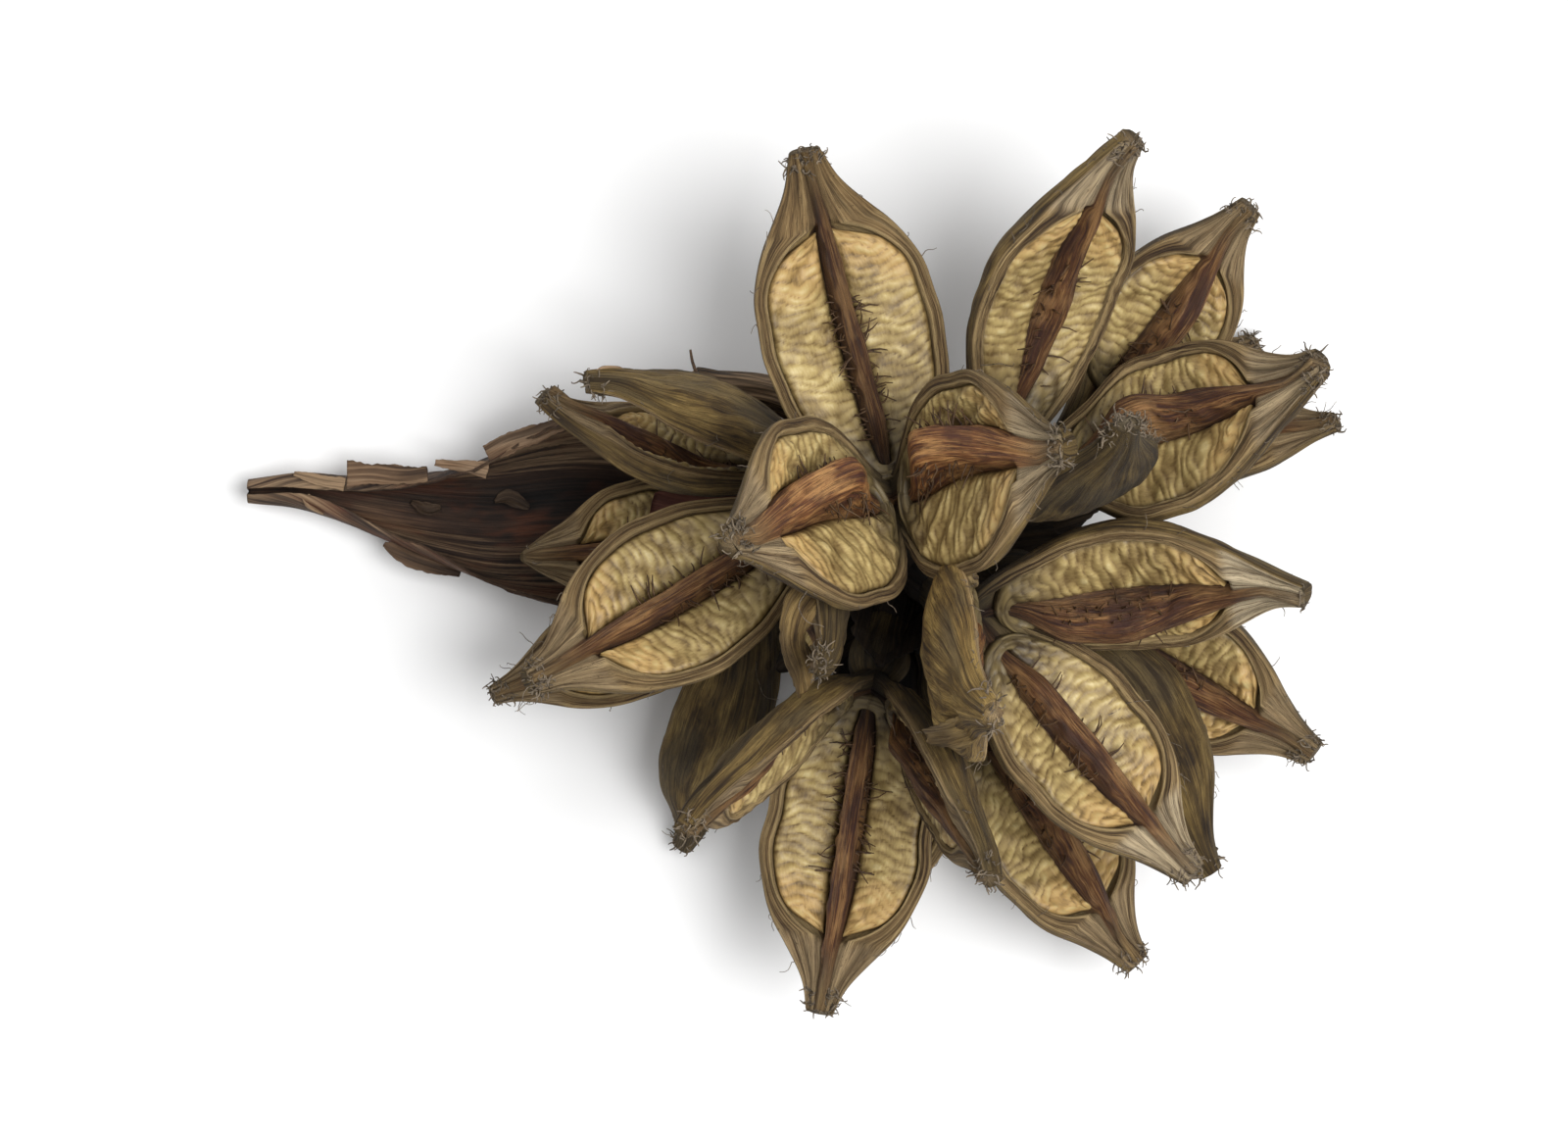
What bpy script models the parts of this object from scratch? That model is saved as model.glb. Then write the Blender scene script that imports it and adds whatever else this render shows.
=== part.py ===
"""Sororoca pod: one dried fruiting branch of a giant tropical herb.

A boat-shaped bract lies with its point to -X. The stalk in it carries a crown of woody capsules,
each split into three valves. A valve is a thick husk with a septum down its middle and a bed of
ridged seed prints on both sides of it. Lengths are in millimetres until a mesh is made.
"""

import math
from dataclasses import dataclass

import bmesh
import bpy
from mathutils import Matrix, Vector

MM = 0.001

# Moves the layout, so that the origin is below the middle of the whole object
CENTRING = (-0.15, 3.4, 0.0)

# Husk of one valve
VALVE_WIDTH = 48.0
VALVE_CUP = 12.0
VALVE_BOW = 9.0
FLOOR_LEVEL = 4.1
RIM_WIDTH = 4.6
RIM_SHARE = 0.34
RIM_LIFT = 0.4
CELL_DEPTH = 3.2
TIP_BULK = 2.4

# Half-width along a valve, as a share of its greatest half-width, at its foot, where its seed
# bed starts, halfway from there to the belly, and then at places past the belly
FOOT_SHARES = (0.2, 0.38, 0.6, 0.85)
BELLY_PROFILE = (
    (0.38, 0.97), (0.52, 1.0), (0.66, 0.93), (0.79, 0.68), (0.83, 0.55), (0.92, 0.29), (1.0, 0.17),
)
CELL_START = 0.13
START_RUN = 0.08
CELL_END = 0.79

# Corner between keel and edge, as a share of the half-width and of the cup's depth
FLANK_ACROSS = 0.6
FLANK_RISE = 0.22
FLANK_BULK = 0.7

# Runs along a valve, as shares of its length
CELL_RAMP = 0.11
FOOT_BULK_RUN = 0.12
TIP_BULK_RUN = (0.75, 0.95)
SEPTUM_RAMP = 0.14
CREST_FADE = (0.35, 0.8)

# Step from the rim down into the cell
LEDGE_STEP = 0.8
LEDGE_LEAST = 0.2

# Septum, the woody partition down the middle of a valve
SEPTUM_FOOT = 4.0
SEPTUM_TOP = 3.2
SEPTUM_LIFT = 2.0
SEPTUM_END_LIFT = 0.7
SEPTUM_SHARE = 0.36
SEPTUM_FOOT_START = 0.55

# Bed of seed prints
BED_GAP = 0.6
BED_EDGE = 2.0
BED_MIDDLE = 1.5
BED_SIDE_GAP = 0.9
BED_FULL = 7.0
BED_CREST = 0.55
RIDGE_HEIGHT = 0.8
RIDGE_AT_RIM = 0.4
RIDGE_AT_SEPTUM = 0.5
RIDGES = 5
BED_ROUND_START = 0.62
BED_ROUND_SHARE = 0.72
BED_END_GAP = 0.006
TURN_INNER = 0.012
TURN_OUTER = 0.055
TURN_EDGE = 0.6

# Foot of a capsule: distance behind the point where the valves part, and radius
FOOT_PROFILE = ((-3.0, 4.0), (2.0, 8.0), (7.0, 8.5), (12.0, 6.0), (17.0, 5.5))
FOOT_SIDES = 8
JOINT_GAP = 0.35


@dataclass
class Valve:
    """One valve of a capsule, set by where its tip is and the way that its inside faces."""

    tip: tuple
    faces: tuple
    width: float = VALVE_WIDTH
    bow: float = VALVE_BOW
    crest: float = SEPTUM_LIFT
    start: float = CELL_START
    ridges: int = RIDGES


@dataclass
class Capsule:
    """A capsule: the point where its valves part, the way that its mouth faces, and its valves."""

    name: str
    base: tuple
    mouth: tuple
    valves: tuple


CAPSULES = (
    Capsule("crown", (30, 18, 74), (-0.1, 0.35, 0.93), (
        Valve((5, 113, 84), (0.25, -0.1, 1.0), width=51, start=0.17),
        Valve((-14, 7, 147), (0.7, 0.4, 0.6), width=54, bow=4, crest=7.0, start=0.17),
        Valve((71, 31, 151), (-0.75, 0.05, 0.7), width=54, bow=4, crest=7.0, start=0.17),
    )),
    Capsule("upper_right", (60, 28, 56), (0.55, 0.35, 0.75), (
        Valve((92, 115, 96), (0.6, -0.5, 0.6), width=54, bow=17, start=0.15),
        Valve((144, 55, 90), (-0.3, 0.6, 0.74), width=58, bow=17, start=0.28),
        Valve((87, 37, 141), (-0.3, 1.0, 0.0), width=46, bow=18, start=0.2, ridges=3),
    )),
    Capsule("far_right", (77, 34, 32), (0.8, 0.5, 0.2), (
        Valve((130, 102, 46), (0.35, -0.3, 0.9), width=44, start=0.28),
        Valve((138, 66, 2), (0.0, 0.0, 1.0), width=34, crest=-3, start=0.2, ridges=3),
        Valve((154, 41, 50), (-0.2, 0.3, 0.7), width=32, crest=-3, start=0.28, ridges=3),
    )),
    Capsule("right", (49, -11, 72), (0.6, -0.3, 0.75), (
        Valve((139, -6, 95), (-0.1, -0.75, 0.7), width=47, bow=16, start=0.22),
        Valve((111, -83, 75), (0.35, 0.3, 0.88), width=46, start=0.25),
        Valve((52, -36, 152), (1.0, 0.1, 0.0), width=48, bow=14, start=0.17, ridges=3),
    )),
    Capsule("front", (25, -29, 52), (0.0, -0.8, 0.6), (
        Valve((10, -123, 50), (-0.15, 0.1, 1.0), bow=11, start=0.2),
        Valve((54, -80, 117), (-1.0, -0.2, 0.0), width=40, start=0.2, ridges=3),
        Valve((-26, -67, 118), (0.5, -0.7, 0.35), width=42, start=0.2),
    )),
    Capsule("left", (8, 14, 60), (-0.5, -0.5, 0.7), (
        Valve((-68, -30, 92), (-0.1, 0.2, 0.95)),
        Valve((10, -25, 125), (-1.0, 0.0, 0.1), width=40, start=0.22, ridges=3),
    )),
    Capsule("upper_left", (12, 28, 44), (-0.9, 0.1, 0.3), (
        Valve((-53, 51, 85), (0.0, -1.0, -0.5), width=38, bow=12, crest=-6, start=0.2, ridges=3),
        Valve((-67, 48, 56), (0.0, 0.85, 0.5), width=34, bow=15, crest=-6, start=0.2, ridges=4),
    )),
    Capsule("lower_right", (70, -3, 40), (0.8, -0.5, 0.1), (
        Valve((149, -51, 42), (0.0, -0.5, 0.85), width=44, start=0.28),
        Valve((117, -83, 65), (0.1, 0.0, -1.0), width=42, crest=-4, start=0.27, ridges=3),
        Valve((139, -35, 2), (0.0, -0.25, -1.0), width=36, crest=-3, start=0.25, ridges=3),
    )),
    Capsule("low_front", (48, -37, 32), (0.1, -0.9, 0.1), (
        Valve((100, -112, 30), (0.5, 0.2, 0.8)),
        Valve((14, -104, 2), (0.2, 0.0, 0.9), width=36, ridges=3),
    )),
    Capsule("low_left", (-6, -6, 42), (-0.7, -0.6, 0.0), (
        Valve((-29, -80, 6), (-0.7, 0.0, -0.6), width=42, ridges=3),
        Valve((-82, -35, 40), (0.0, 0.0, 1.0), width=32, crest=-3, start=0.27, ridges=3),
    )),
    Capsule("bract_side", (-4, 8, 26), (-1.0, 0.0, 0.2), (
        Valve((-74, 4, 30), (0.0, 0.1, 1.0), width=40, crest=0, ridges=4),
    )),
)

# Woody heart of the bunch, the cut stalk below it and one bare side branch
HEART = (34, 1, 38)
HEART_RADIUS = 12.0
STALK_FOOT = (42, 1, 5.3)
STALK_TOP = (30, 1, 44)
STALK_RADII = (10.5, 9.0)
PEDICEL_ROOT_RADIUS = 6.0
BARE_BRANCH = ((30, 6, 32), (20, 32, 25), (0, 48, 36), (-22, 52, 42))
BARE_BRANCH_RADIUS = 4.2

# Bract: x, middle y, outer radius, reach of the far and near walls in degrees, height of the keel
BRACT_SECTIONS = (
    (-155, 23.0, 3.8, 172, 172, 5.0), (-141, 23.0, 5.2, 165, 170, 4.0), (-127, 20.0, 7.0, 155, 160, 2.5),
    (-113, 17.5, 9.5, 140, 138, 1.0), (-99, 15.5, 13.0, 122, 118, 0.0), (-84, 14.5, 18.5, 112, 96, 0.0),
    (-70, 15.5, 24.0, 100, 92, 0.0), (-57, 16.0, 28.0, 100, 78, 0.0), (-42, 14.5, 31.0, 92, 70, 0.0),
    (-26, 12.0, 32.0, 90, 62, 0.0), (-10, 9.5, 32.0, 82, 60, 0.0), (6, 6.0, 31.0, 74, 66, 0.0),
    (22, 3.0, 30.0, 66, 72, 0.0), (36, 1.0, 27.0, 62, 72, 0.0), (44, 1.0, 25.0, 62, 68, 0.0),
)
BRACT_THICK = 1.8
BRACT_KEEL = 4.0
BRACT_STEPS = 5

# Small dry scale, wedged between two stalks of capsules: x, y, z, half-width
SCALE_SECTIONS = (
    (15.5, 6, 40.3, 2.0), (4, 8.5, 43.5, 2.5), (-5, 12, 44, 3.5), (-11, 14, 43, 6.0),
    (-20, 15, 42, 8.0), (-29, 17, 42, 7.0), (-37, 19, 43, 2.5),
)
SCALE_THICK = 1.4
SCALE_CUP = 0.3

SHARP_DEGREES = 38.0

HUSK_COLOUR = (0.26, 0.20, 0.11)
BED_COLOUR = (0.62, 0.50, 0.29)
BRACT_COLOUR = (0.16, 0.09, 0.05)
STALK_COLOUR = (0.20, 0.13, 0.07)
SCALE_COLOUR = (0.17, 0.06, 0.04)


def material(name, colour, roughness):
    """A plain matt material."""
    made = bpy.data.materials.new(name)
    made.use_nodes = True
    shader = made.node_tree.nodes["Principled BSDF"]
    shader.inputs["Base Color"].default_value = (*colour, 1.0)
    shader.inputs["Roughness"].default_value = roughness
    shader.inputs["Metallic"].default_value = 0.0
    return made


def along(profile, t):
    """The value of a profile of (place, value) pairs at t, in straight steps."""
    for (t0, v0), (t1, v1) in zip(profile, profile[1:]):
        if t <= t1:
            return v0 + (v1 - v0) * (t - t0) / (t1 - t0)
    return profile[-1][1]


def smooth(low, high, t):
    """0 below low, 1 above high, and a smooth step between them."""
    share = min(1.0, max(0.0, (t - low) / (high - low)))
    return share * share * (3.0 - 2.0 * share)


class ValveShape:
    """The shape of one valve: its spine, its frame and its cross-sections."""

    def __init__(self, capsule, valve):
        self.valve = valve
        self.base = Vector(capsule.base)
        chord = Vector(valve.tip) - self.base
        self.length = chord.length
        self.chord = chord.normalized()
        faces = Vector(valve.faces)
        self.inward = (faces - self.chord * faces.dot(self.chord)).normalized()
        self.side = self.chord.cross(self.inward)
        start = valve.start
        belly = BELLY_PROFILE[0][0]
        foot = (0.0, start - START_RUN, start, (start + belly) / 2)
        self.profile = (*zip(foot, FOOT_SHARES), *BELLY_PROFILE)
        self.rings = tuple(t for t, _ in self.profile)

    def spine(self, t):
        """The line of the keel, bowed away from the capsule's mouth."""
        bow = self.valve.bow * math.sin(math.pi * t)
        return self.base + self.chord * (self.length * t) - self.inward * bow

    def normal(self, t):
        """The way that the inside of the valve faces at t."""
        slope = -self.valve.bow * math.pi * math.cos(math.pi * t) / self.length
        tangent = (self.chord + self.inward * slope).normalized()
        return self.side.cross(tangent)

    def sizes(self, t):
        """The named points of the right half of the cross-section at t, as (across, inward)."""
        half = self.valve.width / 2
        w = half * along(self.profile, t)
        cup = VALVE_CUP * w / half
        rim = min(RIM_WIDTH, RIM_SHARE * w)
        bulk = TIP_BULK * (smooth(*TIP_BULK_RUN, t) + 1.0 - smooth(0.0, FOOT_BULK_RUN, t))
        start = self.valve.start
        depth = CELL_DEPTH * smooth(start - CELL_RAMP, start, t) * (1.0 if t <= CELL_END else 0.0)
        rise = smooth(start, start + SEPTUM_RAMP, t)
        lift = self.valve.crest * (1.0 - smooth(*CREST_FADE, t)) + SEPTUM_END_LIFT
        widening = SEPTUM_FOOT_START + (1.0 - SEPTUM_FOOT_START) * rise
        foot = min(SEPTUM_FOOT, SEPTUM_SHARE * w) * widening
        foot_level = FLOOR_LEVEL if t <= CELL_END else cup
        top_level = foot_level + (cup + lift - foot_level) * rise
        ledge = w - rim - LEDGE_STEP * min(1.0, depth)
        return {
            "keel": (0.0, -bulk),
            "flank": (FLANK_ACROSS * w, FLANK_RISE * cup - FLANK_BULK * bulk),
            "edge": (w, cup),
            "rim": (w - rim, cup + RIM_LIFT),
            "ledge": (ledge, cup + RIM_LIFT - max(depth, LEDGE_LEAST)),
            "foot": (foot, foot_level),
            "top": (foot * SEPTUM_TOP / SEPTUM_FOOT, top_level),
        }

    def place(self, t, point, turned=1.0):
        """The point (across, inward) of the section at t, in space."""
        across, inward = point
        return self.spine(t) + self.side * (turned * across) + self.normal(t) * inward

    def between(self, t, name, turned=1.0):
        """A named point of the husk at any t, on the flat facets between its rings."""
        for t0, t1 in zip(self.rings, self.rings[1:]):
            if t <= t1:
                share = (t - t0) / (t1 - t0)
                low = self.place(t0, self.sizes(t0)[name], turned)
                high = self.place(t1, self.sizes(t1)[name], turned)
                return low.lerp(high, share)
        raise ValueError(t)


def in_metres(point):
    """A point of the layout, in metres from the origin."""
    return (point + Vector(CENTRING)) * MM


def mesh_of_rings(name, rings):
    """A closed mesh through rings of points, with both ends capped."""
    count = len(rings[0])
    points = [in_metres(point) for ring in rings for point in ring]
    faces = []
    for r in range(len(rings) - 1):
        for c in range(count):
            d = (c + 1) % count
            faces.append((r * count + c, r * count + d, (r + 1) * count + d, (r + 1) * count + c))
    faces.append(tuple(reversed(range(count))))
    faces.append(tuple((len(rings) - 1) * count + c for c in range(count)))
    mesh = bpy.data.meshes.new(name)
    mesh.from_pydata(points, [], faces)
    shape = bmesh.new()
    shape.from_mesh(mesh)
    bmesh.ops.triangulate(shape, faces=shape.faces)
    if shape.calc_volume(signed=True) < 0.0:
        bmesh.ops.reverse_faces(shape, faces=shape.faces)
    shape.to_mesh(mesh)
    shape.free()
    return mesh


def add(name, mesh, finish):
    """A new object in the scene with this mesh and material."""
    made = bpy.data.objects.new(name, mesh)
    bpy.context.scene.collection.objects.link(made)
    made.data.materials.append(finish)
    return made


def husk_valve(shape, finish):
    """One valve's husk, with its septum, as a closed object."""
    order = ("rim", "ledge", "foot", "top")
    rings = []
    for t in shape.rings:
        at = shape.sizes(t)
        right = [shape.place(t, at[n]) for n in order]
        left = [shape.place(t, at[n], -1.0) for n in reversed(order)]
        outside = [
            shape.place(t, at["edge"], -1.0),
            shape.place(t, at["flank"], -1.0),
            shape.place(t, at["keel"]),
            shape.place(t, at["flank"]),
            shape.place(t, at["edge"]),
        ]
        rings.append(right + left + outside)
    return add("valve", mesh_of_rings("valve", rings), finish)


def bed_ring(shape, t, turned, ridge):
    """The five corners of one half of a seed bed at t: two below, three on the ridged face."""
    ledge = shape.between(t, "ledge", turned)
    foot = shape.between(t, "foot", turned)
    closing = smooth(BED_ROUND_START, CELL_END + BED_END_GAP, t) ** 2
    ledge = ledge.lerp(foot, BED_ROUND_SHARE * closing)
    run = (foot - ledge).normalized()
    share = min(1.0, (foot - ledge).length / BED_FULL)
    normal = shape.normal(t)
    up = (normal - run * normal.dot(run)).normalized()
    middle = ledge.lerp(foot, BED_CREST)
    beside_septum = foot - run * (BED_SIDE_GAP * share)
    beside_rim = ledge + run * (BED_SIDE_GAP * share)
    return [
        beside_rim + up * BED_GAP,
        beside_rim + up * (BED_GAP + (BED_EDGE + RIDGE_AT_RIM * ridge) * share),
        middle + up * (BED_GAP + (BED_MIDDLE + ridge) * share),
        beside_septum + normal * (BED_GAP + (BED_EDGE + RIDGE_AT_SEPTUM * ridge) * share),
        beside_septum + up * BED_GAP,
    ]


def bed_turn(shape):
    """The section of the bed where it passes round the low end of the septum."""
    def lifted(t, height):
        middle = shape.between(t, "foot").lerp(shape.between(t, "foot", -1.0), 0.5)
        return middle + shape.normal(t) * height

    inner = shape.valve.start - TURN_INNER
    outer = shape.valve.start - TURN_OUTER
    return [
        lifted(outer, BED_GAP),
        lifted(outer, BED_GAP + BED_EDGE * TURN_EDGE),
        lifted((inner + outer) / 2, BED_GAP + BED_EDGE),
        lifted(inner, BED_GAP + BED_EDGE * TURN_EDGE),
        lifted(inner, BED_GAP),
    ]


def seed_bed(name, shape, finish):
    """The bed of seed prints of one valve: two ridged pads that join below the septum."""
    steps = 2 * shape.valve.ridges
    start = shape.valve.start
    right = []
    for step in range(steps + 1):
        t = start + (CELL_END - BED_END_GAP - start) * step / steps
        ridge = 0.0 if step in (0, steps) else RIDGE_HEIGHT * (1 if step % 2 else -1)
        right.append((t, ridge))
    rings = [bed_ring(shape, t, -1.0, ridge) for t, ridge in reversed(right)]
    rings.append(bed_turn(shape))
    rings += [bed_ring(shape, t, 1.0, ridge) for t, ridge in right]
    return add(name, mesh_of_rings(name, rings), finish)


def turned(name, start, run, profile, finish):
    """A closed faceted body of revolution, from (distance along run, radius) pairs."""
    across = run.orthogonal().normalized()
    rings = []
    for distance, radius in profile:
        centre = start + run * distance
        ring = []
        for k in range(FOOT_SIDES):
            turn = Matrix.Rotation(2 * math.pi * k / FOOT_SIDES, 3, run)
            ring.append(centre + (turn @ across) * radius)
        rings.append(ring)
    return add(name, mesh_of_rings(name, rings), finish)


def rod(name, start, end, radius_start, radius_end, finish):
    """A closed tapered rod."""
    run = end - start
    return turned(name, start, run.normalized(), ((0.0, radius_start), (run.length, radius_end)), finish)


def ball(name, centre, radius, finish):
    """A faceted ball."""
    shape = bmesh.new()
    bmesh.ops.create_icosphere(shape, subdivisions=2, radius=radius * MM)
    bmesh.ops.translate(shape, verts=shape.verts, vec=in_metres(centre))
    mesh = bpy.data.meshes.new(name)
    shape.to_mesh(mesh)
    shape.free()
    return add(name, mesh, finish)


def join(first, others, name):
    """Union of closed objects, as one object."""
    group = bpy.data.collections.new(name + "_parts")
    for other in others:
        group.objects.link(other)
    union = first.modifiers.new("union", "BOOLEAN")
    union.operation = "UNION"
    union.solver = "EXACT"
    union.operand_type = "COLLECTION"
    union.collection = group
    bpy.context.view_layer.objects.active = first
    bpy.ops.object.modifier_apply(modifier=union.name)
    for other in others:
        bpy.data.objects.remove(other)
    bpy.data.collections.remove(group)
    first.name = name
    first.data.name = name
    return first


def foot_run(capsule):
    """The way from a capsule to the heart of the bunch."""
    return (Vector(HEART) - Vector(capsule.base)).normalized()


def capsule_husk(capsule, finish):
    """A capsule's husk: its valves and the foot that they part from, as one object."""
    valves = [husk_valve(ValveShape(capsule, valve), finish) for valve in capsule.valves]
    foot = turned("foot", Vector(capsule.base), foot_run(capsule), FOOT_PROFILE, finish)
    return join(foot, valves, "husk_" + capsule.name)


def capsule_beds(capsule, finish):
    """The seed beds of a capsule, one for each valve."""
    name = "seed_bed_" + capsule.name
    shapes = [ValveShape(capsule, valve) for valve in capsule.valves]
    return [seed_bed(f"{name}_{i + 1}", shape, finish) for i, shape in enumerate(shapes)]


def soften(made):
    """Smooth shading, broken only at sharp edges."""
    made.data.shade_smooth()
    made.data.set_sharp_from_angle(angle=math.radians(SHARP_DEGREES))


def rest_on_table(made):
    """Cut the object flat where it would reach below the table."""
    if min(vertex.co.z for vertex in made.data.vertices) >= 0.0:
        return
    shape = bmesh.new()
    shape.from_mesh(made.data)
    everything = [*shape.verts, *shape.edges, *shape.faces]
    cut = bmesh.ops.bisect_plane(
        shape, geom=everything, plane_co=(0, 0, 0), plane_no=(0, 0, 1), clear_inner=True
    )
    edges = [item for item in cut["geom_cut"] if isinstance(item, bmesh.types.BMEdge)]
    bmesh.ops.holes_fill(shape, edges=edges)
    bmesh.ops.triangulate(shape, faces=shape.faces)
    shape.to_mesh(made.data)
    shape.free()


def stalk(finish):
    """The heart of the bunch with its stalks, up to each capsule's foot, as one object."""
    heart = ball("heart", Vector(HEART), HEART_RADIUS, finish)
    rods = [rod("foot", Vector(STALK_TOP), Vector(STALK_FOOT), *reversed(STALK_RADII), finish)]
    far, radius = FOOT_PROFILE[-1]
    for capsule in CAPSULES:
        start = Vector(capsule.base) + foot_run(capsule) * (far + JOINT_GAP)
        rods.append(rod("pedicel", start, Vector(HEART), radius, PEDICEL_ROOT_RADIUS, finish))
    for start, end in zip(BARE_BRANCH, BARE_BRANCH[1:]):
        run = (Vector(end) - Vector(start)).normalized()
        radius = BARE_BRANCH_RADIUS
        rods.append(rod("branch", Vector(start) - run, Vector(end) + run, radius, radius, finish))
    return join(heart, rods, "stalk")


def bract(finish):
    """The boat-shaped bract, a rolled sheet that opens from a closed point."""
    rings = []
    for x, middle, radius, far, near, lift in BRACT_SECTIONS:
        flat = min(BRACT_KEEL, 0.5 * radius) / radius
        far, near = math.radians(far), math.radians(near)
        steps = range(BRACT_STEPS)
        angles = [-near + (near - flat) * k / (BRACT_STEPS - 1) for k in steps]
        angles += [flat + (far - flat) * k / (BRACT_STEPS - 1) for k in steps]
        outside = []
        inside = []
        for angle in angles:
            level = 0.0 if abs(angle) <= flat + 1e-6 else radius - radius * math.cos(angle)
            outside.append(Vector((x, middle + radius * math.sin(angle), lift + level)))
            inner = radius - BRACT_THICK
            level = radius - inner * math.cos(angle)
            inside.append(Vector((x, middle + inner * math.sin(angle), lift + level)))
        rings.append(outside + inside[::-1])
    return add("bract", mesh_of_rings("bract", rings), finish)


def scale(finish):
    """The small dry scale, a thin cupped leaf."""
    rings = []
    for x, y, z, half in SCALE_SECTIONS:
        across = (-1.0, -0.5, 0.0, 0.5, 1.0)
        top = [Vector((x, y + half * k, z - SCALE_CUP * half * (1 - k * k))) for k in across]
        below = [point - Vector((0, 0, SCALE_THICK)) for point in reversed(top)]
        rings.append(top + below)
    return add("scale", mesh_of_rings("scale", rings), finish)


for leftover in list(bpy.data.objects):
    bpy.data.objects.remove(leftover)
HUSK_FINISH = material("husk", HUSK_COLOUR, 0.75)
BED_FINISH = material("seed_bed", BED_COLOUR, 0.55)
BRACT_FINISH = material("bract", BRACT_COLOUR, 0.8)
STALK_FINISH = material("stalk", STALK_COLOUR, 0.8)
SCALE_FINISH = material("scale", SCALE_COLOUR, 0.8)

pieces = [bract(BRACT_FINISH), scale(SCALE_FINISH), stalk(STALK_FINISH)]
for pod in CAPSULES:
    pieces += [capsule_husk(pod, HUSK_FINISH), *capsule_beds(pod, BED_FINISH)]
for piece in pieces:
    rest_on_table(piece)
    soften(piece)
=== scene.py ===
"""Dressed model of a dried sororoca fruiting head that lies on a pale floor.

The woody capsules, the boat-shaped bract and the stalk are rebuilt round the driving sizes of their
plain solids, with finer skins, fibres and finishes. Lengths are in millimetres, in the layout of
those solids, until a mesh is placed.
"""

import logging
import math
from dataclasses import dataclass, field
from enum import IntEnum
from typing import Callable, Union

import bmesh
import bpy
import numpy as np
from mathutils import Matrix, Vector


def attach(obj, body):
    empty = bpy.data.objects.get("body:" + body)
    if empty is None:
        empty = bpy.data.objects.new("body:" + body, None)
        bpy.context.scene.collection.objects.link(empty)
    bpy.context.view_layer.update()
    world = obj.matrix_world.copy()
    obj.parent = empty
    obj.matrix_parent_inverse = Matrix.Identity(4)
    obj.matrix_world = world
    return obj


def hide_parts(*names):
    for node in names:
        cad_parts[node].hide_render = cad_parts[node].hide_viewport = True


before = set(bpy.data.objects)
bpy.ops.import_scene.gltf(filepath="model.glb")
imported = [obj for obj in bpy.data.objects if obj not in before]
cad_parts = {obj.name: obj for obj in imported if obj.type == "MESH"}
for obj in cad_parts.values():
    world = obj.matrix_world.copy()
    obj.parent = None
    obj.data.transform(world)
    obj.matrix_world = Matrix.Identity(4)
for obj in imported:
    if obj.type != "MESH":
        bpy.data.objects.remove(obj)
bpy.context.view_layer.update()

BODY = "root"
MM = 0.001
CENTRING = np.array((-0.15, 3.4, 0.0))
HEART = np.array((34.0, 1.0, 38.0))
MERGE_DISTANCE = 2e-6

# Loose strands stay above the floor, and those that start at a pixel start on the head
LOWEST_STRAND = 0.5
LOWEST_ROOT = 5.0
ROOT_DEPTH = 0.8

PICTURE_WIDTH = 1600
PICTURE_HEIGHT = 1164
CAMERA_HEIGHT = 1060.0
SHARP_PLANE = 60.0
PIXEL = 0.27
SENSOR = 36.0

log = logging.getLogger("sororoca")
Numbers = np.ndarray
Marks = dict[str, Numbers]
Colour = tuple[float, float, float]
Place = tuple[float, float, float]
Material = bpy.types.Material
Object = bpy.types.Object


class Seed(IntEnum):
    """Where the random draws of each piece start."""

    BRISTLES = 20
    TUFTS = 40
    THREADS = 180
    TWIG = 220
    BRACT = 401
    STALK = 501
    HEART = 502
    STEMS = 510
    BRANCH = 530
    SCALE = 601
    FLAKES = 620
    FLAPS = 680
    LEAVES = 720


class Side(IntEnum):
    """One half of a valve, seen from its foot: the sign of what lies across it."""

    RIGHT = 1
    LEFT = -1


def unit(vectors: Numbers) -> Numbers:
    """Vectors of the same directions and of length 1."""
    return vectors / np.linalg.norm(vectors, axis=-1, keepdims=True)


def smooth(low: float, high: float, t: Numbers) -> Numbers:
    """0 below low, 1 above high, and a smooth step between them."""
    share = np.clip((np.asarray(t, float) - low) / (high - low), 0.0, 1.0)
    return share * share * (3.0 - 2.0 * share)


def blend(a: Numbers, b: Numbers, share: Numbers) -> Numbers:
    """A straight mix of a and b."""
    return a + (b - a) * share


def shares(count: int, start: float = 1.0) -> Numbers:
    """One row of even shares up to 1, the first of which is start parts of count."""
    return ((np.arange(count) + start) / count)[None, :]


def length_along(line: Numbers) -> Numbers:
    """How far along a line each of its points is."""
    return np.concatenate([[0.0], np.cumsum(np.linalg.norm(np.diff(line, axis=0), axis=1))])


def curve_through(places: Numbers, values: Numbers, t: Numbers) -> Numbers:
    """A smooth curve through (place, value) pairs, read at t.

    Args:
        places: Rising places along the curve.
        values: One value, or one row of values, for each place.
        t: Where the curve is read.

    Returns:
        The values at t.
    """
    places = np.asarray(places, float)
    values = np.asarray(values, float)
    flat = values.reshape(len(places), -1)
    slopes = np.gradient(flat, places, axis=0)
    k = np.clip(np.searchsorted(places, t) - 1, 0, len(places) - 2)
    run = (places[k + 1] - places[k])[:, None]
    s = np.clip(((t - places[k]) / run[:, 0])[:, None], 0.0, 1.0)
    found = (
        (1 + 2 * s) * (1 - s) ** 2 * flat[k]
        + s * (1 - s) ** 2 * run * slopes[k]
        + s * s * (3 - 2 * s) * flat[k + 1]
        + s * s * (s - 1) * run * slopes[k + 1]
    )
    return found.reshape(len(t), *values.shape[1:])


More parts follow.
